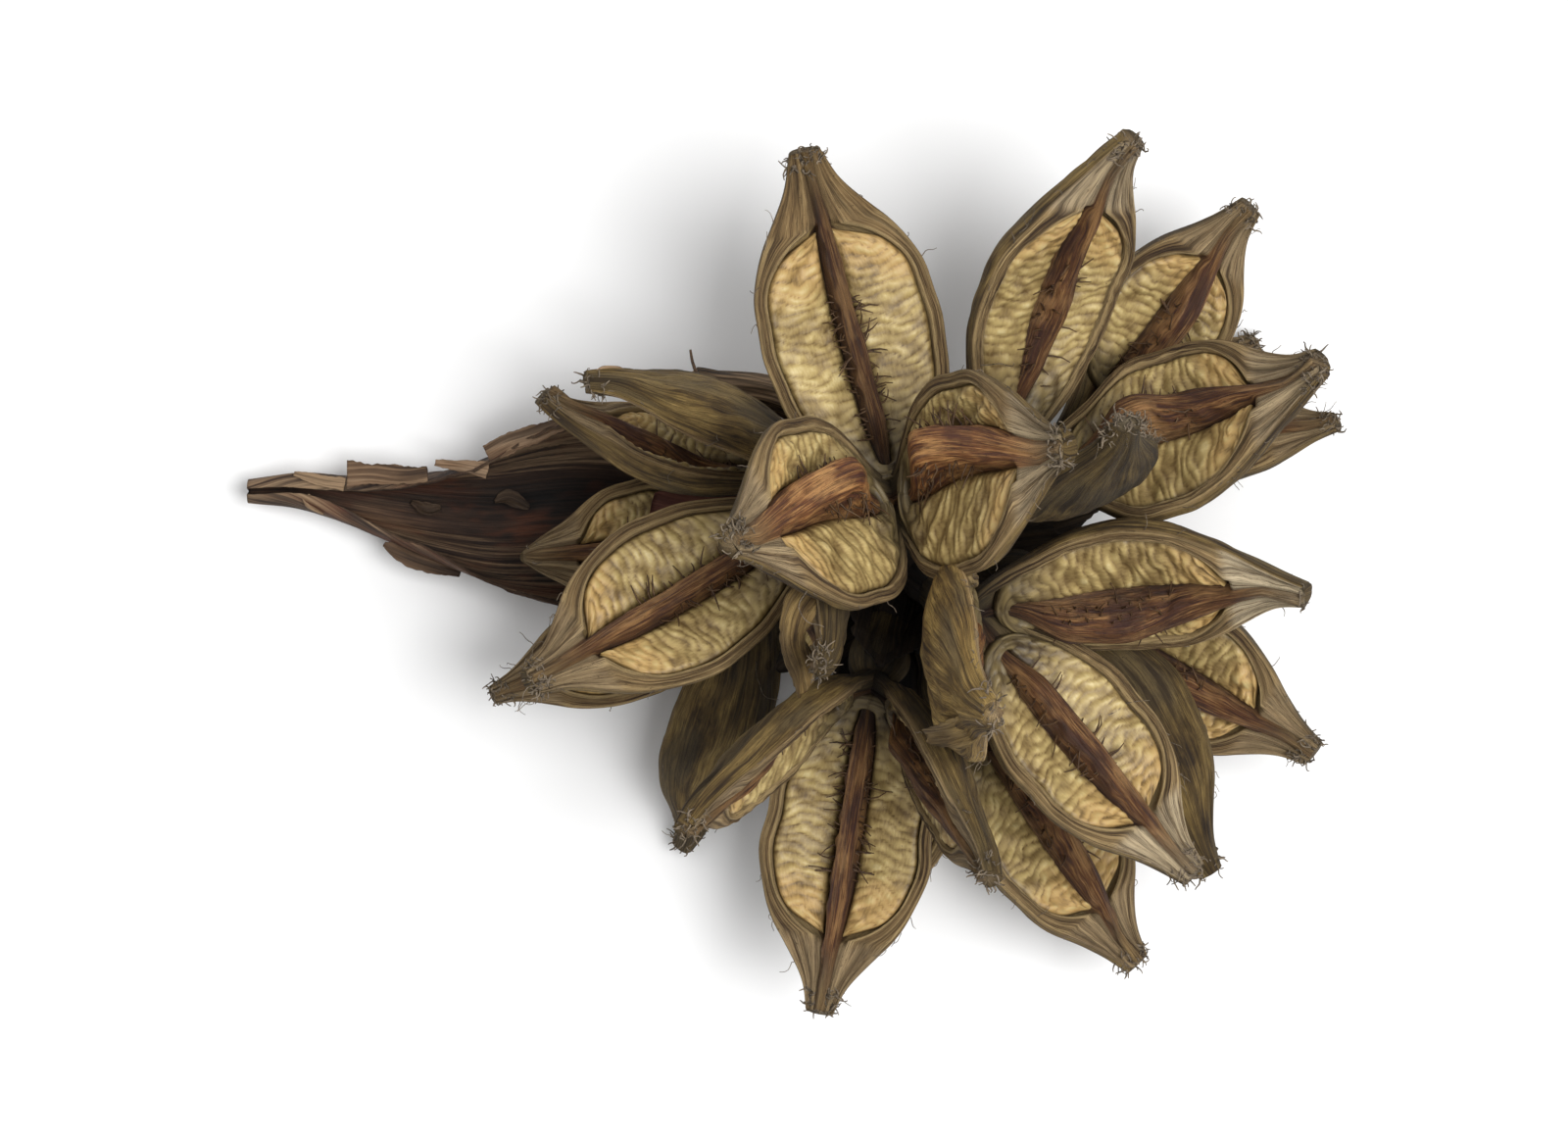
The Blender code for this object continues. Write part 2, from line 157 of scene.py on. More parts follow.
@dataclass(frozen=True)
class Relief:
    """Soft random relief, by its height and its shortest wavelengths along two coordinates."""

    height: float
    wave_a: float
    wave_b: float
    step: int = 0
    waves: int = 9

    def at(self, seed: int, a: Numbers, b: Numbers) -> Numbers:
        """The relief over two coordinates.

        Args:
            seed: Start of the random draw, to which the relief adds its own step.
            a: First coordinate, in millimetres.
            b: Second coordinate, in millimetres.

        Returns:
            Heights up to about the relief's own.
        """
        draw = np.random.default_rng(seed + self.step)
        total = np.zeros(np.broadcast(a, b).shape)
        for _ in range(self.waves):
            ka, kb = draw.uniform(0.25, 1.0, 2) * draw.choice((-1.0, 1.0), 2)
            phase = draw.uniform(0.0, 2.0 * math.pi)
            total += np.sin(2.0 * math.pi * (ka * a / self.wave_a + kb * b / self.wave_b) + phase)
        return self.height * (total / math.sqrt(self.waves) * 0.8)


def at_pixel(x: float, y: float, z: float) -> Numbers:
    """The point of the layout at height z that the camera sees at a pixel of the 1600 x 1164 picture."""
    size = PIXEL * (CAMERA_HEIGHT - z) / (CAMERA_HEIGHT - SHARP_PLANE)
    return np.array(((x - PICTURE_WIDTH / 2) * size, (PICTURE_HEIGHT / 2 - y) * size, z))


def pixels(*points: Place) -> tuple[Numbers, ...]:
    """Layout points for pixels of the picture, each with its height."""
    return tuple(at_pixel(*point) for point in points)


def seen_at(x: float, y: float) -> Numbers | None:
    """The point on the head that the camera sees at a pixel.

    Args:
        x: Pixels from the picture's left edge.
        y: Pixels from its top edge.

    Returns:
        The point in the layout, a little below the surface, or None where the floor shows.
    """
    eye = np.array((0.0, 0.0, CAMERA_HEIGHT))
    run = unit(at_pixel(x, y, 0.0) - eye)
    graph = bpy.context.evaluated_depsgraph_get()
    hit, place, *_ = bpy.context.scene.ray_cast(graph, Vector((eye + CENTRING) * MM), Vector(run))
    point = np.array(place) / MM - CENTRING
    return point + ROOT_DEPTH * run if hit and point[2] > LOWEST_ROOT else None


class Wire:
    """One output socket in a material, with arithmetic on its value."""

    def __init__(self, shader: "Shader", socket: bpy.types.NodeSocket) -> None:
        """Keep the socket and the shader that it belongs to."""
        self.shader = shader
        self.socket = socket

    def maths(self, operation: str, *values: "Value") -> "Wire":
        """The output of a Math node."""
        return self.shader.node("ShaderNodeMath", {"operation": operation}, dict(enumerate(values)))

    def __add__(self, other: "Value") -> "Wire":
        """self + other."""
        return self.maths("ADD", self, other)

    __radd__ = __add__

    def __sub__(self, other: "Value") -> "Wire":
        """self - other."""
        return self.maths("SUBTRACT", self, other)

    def __rsub__(self, other: "Value") -> "Wire":
        """other - self."""
        return self.maths("SUBTRACT", other, self)

    def __mul__(self, other: "Value") -> "Wire":
        """self * other."""
        return self.maths("MULTIPLY", self, other)

    __rmul__ = __mul__

    def __abs__(self) -> "Wire":
        """The size of self, whatever its sign."""
        return self.maths("ABSOLUTE", self)

    def between(self, low: float, high: float) -> "Wire":
        """0 below low, 1 above high, and a smooth step between them."""
        settings = {"interpolation_type": "SMOOTHSTEP"}
        return self.shader.node("ShaderNodeMapRange", settings, {0: self, 1: low, 2: high})


Value = Union[float, Wire]
Stops = list[tuple[float, Colour]]


class Shader:
    """A Principled material and the nodes that feed it."""

    coat_rough = 0.35
    specular = 0.35

    def __init__(self, name: str) -> None:
        """Make the material with its two standard nodes."""
        self.material = bpy.data.materials.new(name)
        self.material.use_nodes = True
        self.tree = self.material.node_tree
        self.surface = self.tree.nodes["Principled BSDF"]

    def feed(self, node: bpy.types.Node, sockets: dict[str | int, Union[Value, tuple]]) -> None:
        """Give a node's inputs, by name or number, their wires or values."""
        for key, value in sockets.items():
            if isinstance(value, Wire):
                self.tree.links.new(value.socket, node.inputs[key])
            else:
                node.inputs[key].default_value = value

    def node(self, kind: str, settings: dict[str, str], sockets: dict[str | int, Union[Value, tuple]],
             out: int = 0) -> Wire:
        """Any node.

        Args:
            kind: The node's type.
            settings: Its properties.
            sockets: Values or wires for its inputs, by name or number.
            out: Which output is returned.

        Returns:
            The wire from that output.
        """
        made = self.tree.nodes.new(kind)
        for name, value in settings.items():
            setattr(made, name, value)
        self.feed(made, sockets)
        return Wire(self, made.outputs[out])

    def ramp(self, factor: Value, stops: Stops) -> Wire:
        """A colour read from stops."""
        found = self.node("ShaderNodeValToRGB", {}, {0: factor})
        elements = found.socket.node.color_ramp.elements
        while len(elements) < len(stops):
            elements.new(1.0)
        for element, (place, colour) in zip(elements, stops):
            element.position = place
            element.color = (*colour, 1.0)
        return found

    def mix(self, factor: Value, a: Union[Colour, Wire], b: Union[Colour, Wire]) -> Wire:
        """A mix of two colours."""
        a, b = ((*c, 1.0) if isinstance(c, tuple) else c for c in (a, b))
        return self.node("ShaderNodeMix", {"data_type": "RGBA"}, {0: factor, 6: a, 7: b}, out=2)

    def shade(self, colour: Wire, factor: Value) -> Wire:
        """A colour made darker or lighter by a factor."""
        return self.node("ShaderNodeVectorMath", {"operation": "SCALE"}, {0: colour, "Scale": factor})

    def mark(self, name: str) -> Wire:
        """A number that the mesh carries."""
        return self.node("ShaderNodeAttribute", {"attribute_name": name}, {}, out=2)

    def grain(self) -> Wire:
        """The place on the grown surface: across and along the fibres in millimetres, and a draw."""
        return self.node("ShaderNodeAttribute", {"attribute_name": "grain"}, {}, out=1)

    def place(self) -> Wire:
        """Object coordinates in millimetres."""
        return self.stretched(self.node("ShaderNodeTexCoord", {}, {}, out=3), (1 / MM, 1 / MM, 1 / MM))

    def stretched(self, vector: Wire, by: Colour) -> Wire:
        """A vector multiplied axis by axis."""
        return self.node("ShaderNodeVectorMath", {"operation": "MULTIPLY"}, {0: vector, 1: by})

    def noise(self, vector: Wire, by: Colour, detail: float = 4.0, rough: float = 0.55,
              warp: float = 0.0) -> Wire:
        """Noise over a place.

        Args:
            vector: The place.
            by: How many grains there are in a millimetre along each axis.
            detail: How many finer layers are added.
            rough: How strong the finer layers are.
            warp: How far the grains are bent.

        Returns:
            Values of about 0.3 to 0.7.
        """
        sockets = {"Vector": self.stretched(vector, by), "Scale": 1.0, "Detail": detail}
        return self.node("ShaderNodeTexNoise", {}, {**sockets, "Roughness": rough, "Distortion": warp})

    def finish(self, colour: Wire, rough: Value, height: Wire, depth: float, coat: float = 0.0) -> Material:
        """Feed the surface.

        Args:
            colour: Base colour.
            rough: Roughness.
            height: Relief from 0 to 1.
            depth: What a height of 1 stands for, in millimetres.
            coat: Weight of a waxy coat, the same all over.

        Returns:
            The material.
        """
        normal = self.node("ShaderNodeBump", {}, {"Strength": 1.0, "Distance": depth * MM, "Height": height})
        self.feed(self.surface, {
            "Base Color": colour, "Roughness": rough, "Normal": normal, "Coat Weight": coat,
            "Coat Roughness": self.coat_rough, "Specular IOR Level": self.specular,
        })
        return self.material


@dataclass(frozen=True)
class HuskFinish:
    """Dry fibrous husk: olive-brown back, violet-brown rim with cream lines, red-brown septum."""

    dark: Colour = (0.026, 0.014, 0.005)
    mid: Colour = (0.155, 0.096, 0.028)
    light: Colour = (0.370, 0.250, 0.082)
    grey: Colour = (0.100, 0.076, 0.040)
    rim: Colour = (0.205, 0.128, 0.052)
    rim_dark: Colour = (0.040, 0.020, 0.010)
    cream: Colour = (0.450, 0.325, 0.150)
    septum: Colour = (0.125, 0.050, 0.017)
    septum_light: Colour = (0.370, 0.200, 0.075)
    septum_violet: Colour = (0.042, 0.015, 0.011)
    tip: Colour = (0.385, 0.270, 0.125)
    pale: Colour = (0.600, 0.490, 0.320)

    def build(self) -> Material:
        """The husk's material, which reads the marks that the husk's mesh carries."""
        s = Shader("dry_husk")
        grain = s.grain()
        lines = s.noise(grain, (1.1, 0.045, 1.0), detail=7.0, rough=0.68, warp=0.3)
        fine = s.noise(grain, (4.5, 0.16, 1.0), detail=5.0, rough=0.7)
        mottle = s.noise(grain, (0.16, 0.055, 1.0), detail=5.0, rough=0.6)
        specks = s.noise(grain, (0.9, 0.7, 1.0), detail=3.0, rough=0.7)
        hairs = s.noise(grain, (2.4, 0.035, 1.0), detail=5.0, rough=0.6, warp=0.2)
        back, rim = self._back(s, grain, lines, fine, mottle), self._rim(s, grain, lines, mottle)
        colour = s.mix(s.mark("rim"), back, rim)
        colour = s.mix(s.mark("tip"), colour, self._tip(s, lines, fine))
        colour = s.mix(s.mark("septum"), colour, self._septum(s, grain))
        colour = s.mix(specks.between(0.66, 0.72) * 0.7, colour, self.dark)
        # Painted shade: grooves, creases and crevices are darkened
        colour = s.mix(s.mark("groove") * 0.8, colour, self.dark)
        colour = s.mix(abs(hairs - 0.5).between(0.026, 0.008) * 0.75, colour, self.dark)
        # Painted shade: the mesh's shade mark darkens the husk, and below 0 it paints light on it
        colour = s.shade(colour, 1.0 - s.mark("dusk") * 0.85)
        rough = 0.88 - s.mark("septum") * 0.22 - lines * 0.12
        height = lines * 0.6 + fine * 0.4 + specks * 0.1
        return s.finish(colour, rough, height, depth=1.4)

    def _back(self, s: Shader, grain: Wire, lines: Wire, fine: Wire, mottle: Wire) -> Wire:
        """The mottled and streaked colour of the husk's outside."""
        patches = s.noise(grain, (0.055, 0.028, 1.0), detail=2.0)
        streaks = s.noise(grain, (0.5, 0.03, 1.0), detail=3.0, rough=0.5)
        level = mottle * 0.55 + lines * 0.45
        back = s.ramp(level, [(0.38, self.dark), (0.48, self.mid), (0.63, self.light)])
        back = s.mix(patches.between(0.50, 0.64) * 0.6, back, self.grey)
        back = s.mix(streaks.between(0.54, 0.66) * 0.8, back, self.dark)
        return s.mix(fine.between(0.52, 0.38) * 0.55, back, self.dark)

    def _rim(self, s: Shader, grain: Wire, lines: Wire, mottle: Wire) -> Wire:
        """The striped colour of the rim, with a cream line near each of its edges."""
        band = s.mark("band") + (lines - 0.5) * 0.3
        stripes = s.noise(grain, (1.6, 0.03, 1.0), detail=4.0, rough=0.6)
        level = stripes * 0.7 + mottle * 0.3
        rim = s.ramp(level, [(0.40, self.rim_dark), (0.49, self.rim), (0.64, self.tip)])
        for middle, strength in ((0.90, 0.7), (0.10, 0.45)):
            near = 1.0 - abs(band - middle).between(0.02, 0.12)
            rim = s.mix(near * strength, rim, self.cream)
        return rim

    def _septum(self, s: Shader, grain: Wire) -> Wire:
        """The woody colour of the septum, from violet to light brown."""
        wood = s.noise(grain, (1.5, 0.07, 1.0), detail=6.0, rough=0.65, warp=0.4)
        blush = s.noise(grain, (0.14, 0.06, 1.0), detail=3.0)
        septum = s.ramp(wood, [(0.38, self.septum_violet), (0.50, self.septum), (0.70, self.septum_light)])
        septum = s.mix(blush.between(0.53, 0.66) * 0.7, septum, self.septum_violet)
        septum = s.mix(blush.between(0.49, 0.34) * 0.6, septum, self.septum_light)
        return s.shade(septum, 1.0 + s.mark("tone"))

    def _tip(self, s: Shader, lines: Wire, fine: Wire) -> Wire:
        """The dry colour of the inside near the tip, bleached where the mesh says so."""
        tip = s.ramp(lines * 0.6 + fine * 0.4, [(0.37, self.rim_dark), (0.50, self.rim), (0.66, self.tip)])
        return s.mix(s.mark("pale") * lines.between(0.32, 0.54), tip, self.pale)


@dataclass(frozen=True)
class BedFinish:
    """Straw-coloured corrugated lining, golden at its round ends, greyer at its foot, with painted light on
    its ridges and painted shade in its furrows.
    """

    groove: Colour = (0.120, 0.072, 0.024)
    flank: Colour = (0.300, 0.212, 0.082)
    crest: Colour = (0.465, 0.350, 0.143)
    pale: Colour = (0.630, 0.520, 0.265)
    golden: Colour = (0.490, 0.305, 0.110)
    foot: Colour = (0.205, 0.152, 0.074)
    dirt: Colour = (0.060, 0.036, 0.015)

    def build(self) -> Material:
        """The lining's material."""
        s = Shader("seed_prints")
        grain = s.grain()
        crest = s.mark("crest")
        cloud = s.noise(grain, (0.09, 0.07, 1.0), detail=4.0)
        fine = s.noise(grain, (1.7, 0.5, 1.0), detail=5.0, rough=0.65)
        specks = s.noise(grain, (0.75, 0.65, 1.0), detail=4.0, rough=0.75)
        blots = s.noise(grain, (0.35, 0.28, 1.0), detail=4.0, rough=0.65)
        # The level mixes random tone with the ridges' height: painted light on ridge tops, painted shade in
        # furrows
        level = crest * 0.50 + fine * 0.42 + cloud * 0.45 + blots * 0.34 - 0.34
        body = s.ramp(level, [(0.22, self.groove), (0.45, self.flank), (0.68, self.crest), (0.92, self.pale)])
        gold = s.ramp(level, [(0.20, self.groove), (0.50, self.golden), (0.90, self.crest)])
        base = s.ramp(level, [(0.25, self.dirt), (0.50, self.foot), (0.85, self.flank)])
        colour = s.mix((s.mark("far") + (cloud - 0.5) * 0.9).between(0.35, 0.95) * 0.75, body, gold)
        colour = s.mix((s.mark("near") + (fine - 0.5) * 0.6).between(0.2, 0.95) * 0.75, colour, base)
        colour = s.mix(specks.between(0.66, 0.73) * 0.85, colour, self.dirt)
        # Painted shade: the mesh's shade mark darkens the lining
        colour = s.shade(colour, 1.0 - s.mark("dusk") * 0.6)
        rough = 0.52 - crest * 0.14 + (fine - 0.5) * 0.3
        height = fine * 0.6 + specks * 0.2 + cloud * 0.4
        return s.finish(colour, rough, height, depth=0.45, coat=0.12)


@dataclass(frozen=True)
class FibreFinish:
    """Fine dry fibre, from one colour to another by its place."""

    name: str
    dark: Colour
    light: Colour
    rough: float

    def build(self) -> Material:
        """The fibre's material."""
        s = Shader(self.name)
        place = s.place()
        cloud = s.noise(place, (0.35, 0.35, 0.35), detail=3.0)
        fine = s.noise(place, (2.2, 2.2, 2.2), detail=3.0)
        colour = s.ramp(cloud * 0.6 + fine * 0.4, [(0.36, self.dark), (0.62, self.light)])
        return s.finish(colour, self.rough, fine, depth=0.08)


@dataclass(frozen=True)
class SheathFinish:
    """Brown sheath of parallel fibres with paler torn places."""

    name: str
    dark: Colour
    mid: Colour
    light: Colour
    worn: Colour = (0.300, 0.200, 0.115)
    warm: Colour = (0.120, 0.036, 0.014)
    warmth: float = 0.0

    def build(self) -> Material:
        """The sheath's material, with its fibres along the second grain coordinate."""
        s = Shader(self.name)
        grain = s.grain()
        lines = s.noise(grain, (0.75, 0.018, 1.0), detail=6.0, rough=0.62, warp=0.25)
        fine = s.noise(grain, (3.4, 0.07, 1.0), detail=4.0, rough=0.7)
        cloud = s.noise(grain, (0.06, 0.02, 1.0), detail=4.0)
        cracks = s.noise(grain, (0.35, 0.012, 1.0), detail=2.0)
        glow = s.noise(grain, (0.09, 0.035, 1.0), detail=3.0)
        level = lines * 0.5 + cloud * 0.5
        colour = s.ramp(level, [(0.38, self.dark), (0.50, self.mid), (0.64, self.light)])
        colour = s.mix(glow.between(0.50, 0.64) * self.warmth, colour, self.warm)
        colour = s.mix((s.mark("worn") + (lines - 0.5) * 1.3).between(0.35, 0.85), colour, self.worn)
        colour = s.mix(fine.between(0.62, 0.42) * 0.4, colour, self.dark)
        colour = s.mix(cracks.between(0.60, 0.68) * 0.7, colour, self.dark)
        # Painted shade: the mesh's shade mark darkens the sheath, and below 0 it paints light on it
        colour = s.shade(colour, 1.0 - s.mark("dusk") * 0.7)
        height = lines * 0.7 + fine * 0.3
        return s.finish(colour, 0.85 - lines * 0.2, height, depth=0.7)


class Finishes:
    """Every finish of the head, built once."""

    def __init__(self) -> None:
        """Build the materials."""
        self.husk = HuskFinish().build()
        self.bed = BedFinish().build()
        self.bract, self.stalk, self.scale, self.flake = (SheathFinish(*sheath).build() for sheath in (
            ("dark_sheath", (0.008, 0.004, 0.003), (0.050, 0.025, 0.014), (0.190, 0.105, 0.056),
             SheathFinish.worn, SheathFinish.warm, 0.7),
            ("stalk_bark", (0.006, 0.004, 0.003), (0.035, 0.021, 0.011), (0.110, 0.070, 0.036)),
            ("papery_scale", (0.030, 0.009, 0.006), (0.110, 0.034, 0.022), (0.230, 0.090, 0.055)),
            ("torn_flake", (0.040, 0.022, 0.012), (0.170, 0.098, 0.052), (0.360, 0.245, 0.150)),
        ))
        self.bristle = FibreFinish("bristle", (0.020, 0.009, 0.006), (0.110, 0.060, 0.025), 0.6).build()
        self.tuft = FibreFinish("tuft", (0.030, 0.022, 0.015), (0.230, 0.180, 0.125), 0.9).build()


def only(made: Object) -> None:
    """Select one object and make it active."""
    bpy.ops.object.select_all(action="DESELECT")
    made.select_set(True)
    bpy.context.view_layer.objects.active = made


def edit_all(operation: Callable[[], object]) -> None:
    """Run one operation on the whole mesh of the active object."""
    bpy.ops.object.mode_set(mode="EDIT")
    bpy.ops.mesh.select_all(action="SELECT")
    operation()
    bpy.ops.object.mode_set(mode="OBJECT")


def outward(made: Object) -> None:
    """Turn a closed mesh's faces outwards."""
    shape = bmesh.new()
    shape.from_mesh(made.data)
    inside_out = shape.calc_volume(signed=True) < 0.0
    shape.free()
    if inside_out:
        only(made)
        edit_all(bpy.ops.mesh.flip_normals)


def even_marks(grain: Numbers, **values: float) -> Marks:
    """Marks that are the same all over a skin, 0 where no value is given, and its grain."""
    names = ("rim", "septum", "band", "tip", "worn", "groove", "pale", "tone", "dusk")
    return {"grain": grain, **{name: np.full(grain.shape[:2], values.get(name, 0.0)) for name in names}}


def grain_at(across: Numbers, along: Numbers, draw: float) -> Numbers:
    """The grain of a skin: places across and along its fibres in millimetres, and its own draw."""
    return np.stack(np.broadcast_arrays(across, along, draw), axis=2)


def there_and_back(there: Numbers, back: Numbers) -> Numbers:
    """The columns of one face of a sheet, and then those of its other face in reverse."""
    return np.concatenate([there, back[:, ::-1]], axis=1)


def grid_for(net: Numbers, name: str) -> tuple[Object, Numbers, Numbers]:
    """A flat grid with a point for each point of a net.

    Args:
        net: Points as rows by columns.
        name: The object's name.

    Returns:
        The grid, and the row and the column of the net that each of its points stands for.
    """
    rows, columns = net.shape[:2]
    bpy.ops.object.select_all(action="DESELECT")
    bpy.ops.mesh.primitive_grid_add(x_subdivisions=columns - 1, y_subdivisions=rows - 1, size=2.0)
    made = bpy.context.object
    made.name = made.data.name = name
    flat = np.empty(len(made.data.vertices) * 3)
    made.data.vertices.foreach_get("co", flat)
    column, row = (
        np.rint((flat[axis::3] + 1.0) / 2.0 * (count - 1)).astype(int)
        for axis, count in enumerate((columns, rows))
    )
    return made, row, column


def skin(name: str, net: Numbers, marks: Marks, finish: Material) -> Object:
    """A closed skin over a net of points, drawn together to a point at both ends.

    Args:
        name: The object's name.
        net: Points in the layout, as rows along by columns round; the skin closes round each row.
        marks: Numbers or vectors for each point of the net, kept on the mesh by name.
        finish: The skin's material.

    Returns:
        The object.
    """
    first, last = (np.broadcast_to(end.mean(1, keepdims=True), end.shape) for end in (net[:1], net[-1:]))
    net = np.concatenate([first, net, last])
    net = np.concatenate([net, net[:, :1]], axis=1)
    net[..., 2] = np.maximum(net[..., 2], 0.0)
    made, row, column = grid_for(net, name)
    made.data.vertices.foreach_set("co", ((net[row, column] + CENTRING) * MM).ravel())
    for key, value in marks.items():
        value = np.concatenate([value[:1], value, value[-1:]])
        value = np.concatenate([value, value[:, :1]], axis=1)[row, column]
        kind, slot = ("FLOAT", "value") if value.ndim == 1 else ("FLOAT_VECTOR", "vector")
        made.data.attributes.new(key, kind, "POINT").data.foreach_set(slot, value.ravel())
    edit_all(lambda: bpy.ops.mesh.remove_doubles(threshold=MERGE_DISTANCE))
    outward(made)
    made.data.shade_smooth()
    made.data.materials.append(finish)
    return made


def joined(name: str, pieces: list[Object]) -> Object:
    """Several objects as one."""
    bpy.ops.object.select_all(action="DESELECT")
    for piece in pieces:
        piece.select_set(True)
    bpy.context.view_layer.objects.active = pieces[0]
    bpy.ops.object.join()
    pieces[0].name = pieces[0].data.name = name
    return pieces[0]


def tube(name: str, line: Numbers, radius: Numbers, finish: Material, seed: int, around: int = 28,
         relief: float = 0.35, dusk: float = 0.75, worn: float = 0.0) -> Object:
    """A closed round stem with fibre relief along a line.

    Args:
        name: The object's name.
        line: Points along the middle.
        radius: Radius at each point.
        finish: The material.
        seed: Start of the random draw.
        around: Columns round the stem.
        relief: Height of its ribs, in millimetres.
        dusk: How much painted shade darkens it, or painted light lightens it below 0.
        worn: How worn it is.

    Returns:
        The object.
    """
    run = unit(np.gradient(line, axis=0))
    across = unit(np.cross(run, np.array(Vector(run[0]).orthogonal())))
    third = np.cross(run, across)
    angle = np.linspace(0.0, 2.0 * math.pi, around, endpoint=False)[None, :]
    length = length_along(line)[:, None]
    spread = 9.0
    ribs = Relief(relief, 3.0, 40.0).at(seed, np.sin(angle) * spread, length)
    ribs = ribs + Relief(relief, 2.0, 25.0, 1).at(seed, np.cos(angle) * spread, length)
    size = radius[:, None] + ribs
    spokes = np.cos(angle)[..., None] * across[:, None, :] + np.sin(angle)[..., None] * third[:, None, :]
    net = line[:, None, :] + size[..., None] * spokes
    grain = grain_at(angle * radius.mean(), length, seed * 3.1)
    return skin(name, net, even_marks(grain, dusk=dusk, worn=worn), finish)


@dataclass
class Strands:
    """Many fine tapered strands, made as one piece."""

    name: str
    lines: list[tuple[Numbers, float, float]] = field(default_factory=list)

    def add(self, points: Numbers, root: float, end: float) -> None:
        """Keep one strand: its points in the layout and its radius at both ends."""
        self.lines.append((points, root, end))

    def build(self, finish: Material) -> Object:
        """The strands as one mesh."""
        data = bpy.data.curves.new(self.name, "CURVE")
        data.dimensions = "3D"
        data.bevel_depth = MM
        data.bevel_resolution = 0
        data.use_fill_caps = True
        for points, root, end in self.lines:
            line = data.splines.new("POLY")
            line.points.add(len(points) - 1)
            placed = np.ones((len(points), 4))
            points[:, 2] = np.maximum(points[:, 2], LOWEST_STRAND)
            placed[:, :3] = (points + CENTRING) * MM
            line.points.foreach_set("co", placed.ravel())
            line.points.foreach_set("radius", np.linspace(root, end, len(points)))
        made = bpy.data.objects.new(self.name, data)
        bpy.context.scene.collection.objects.link(made)
        only(made)
        bpy.ops.object.convert(target="MESH")
        made = bpy.context.object
        made.data.shade_smooth()
        made.data.materials.append(finish)
        return made


def wander(draw: np.random.Generator, start: Numbers, run: Numbers, length: float, steps: int,
           curl: float) -> Numbers:
    """Points of a strand that bends at random.

    Args:
        draw: Random draw.
        start: First point.
        run: Direction in which the strand sets out.
        length: Its length.
        steps: How many straight steps it has.
        curl: How far its direction turns at each step.

    Returns:
        The points.
    """
    points = [np.asarray(start, float)]
    run = unit(np.asarray(run, float))
    drift = draw.normal(0.0, 1.0, 3)
    for _ in range(steps):
        drift = 0.6 * drift + draw.normal(0.0, 0.7, 3)
        run = unit(run + curl * drift)
        points.append(points[-1] + run * length / steps)
    return np.array(points)


@dataclass(frozen=True)
class Valve:
    """One valve of a capsule, set by where its tip is and the way that its inside faces.

    Attributes:
        tip: Where its tip is.
        faces: The way that its inside faces.
        width: Its greatest width.
        bow: How far its keel bows out.
        crest: Height of the septum's middle above the rim.
        start: Where its bed starts, as a share of its length.
        sway: How far the septum leans sideways.
        broad: How thick the septum is, as a share of the usual.
        run_in: The stretch in which the septum rises, as a share of the length.
        end: Width of its tip, as a share of its width.
        tuft: How many fibres stand at its tip.
        bristles: How many stubs of seed stalks its septum carries.
        dusk: How much painted shade darkens it, or painted light lightens it below 0.
        pale: How bleached the inside of its tip is.
        tone: How much lighter its septum is.
    """

    tip: Place
    faces: Place
    width: float = 48.0
    bow: float = 9.0
    crest: float = 2.0
    start: float = 0.13
    sway: float = 0.0
    broad: float = 1.0
    run_in: float = 0.2
    end: float = 0.17
    tuft: int = 64
    bristles: int = 52
    dusk: float = 0.0
    pale: float = 0.2
    tone: float = 0.0


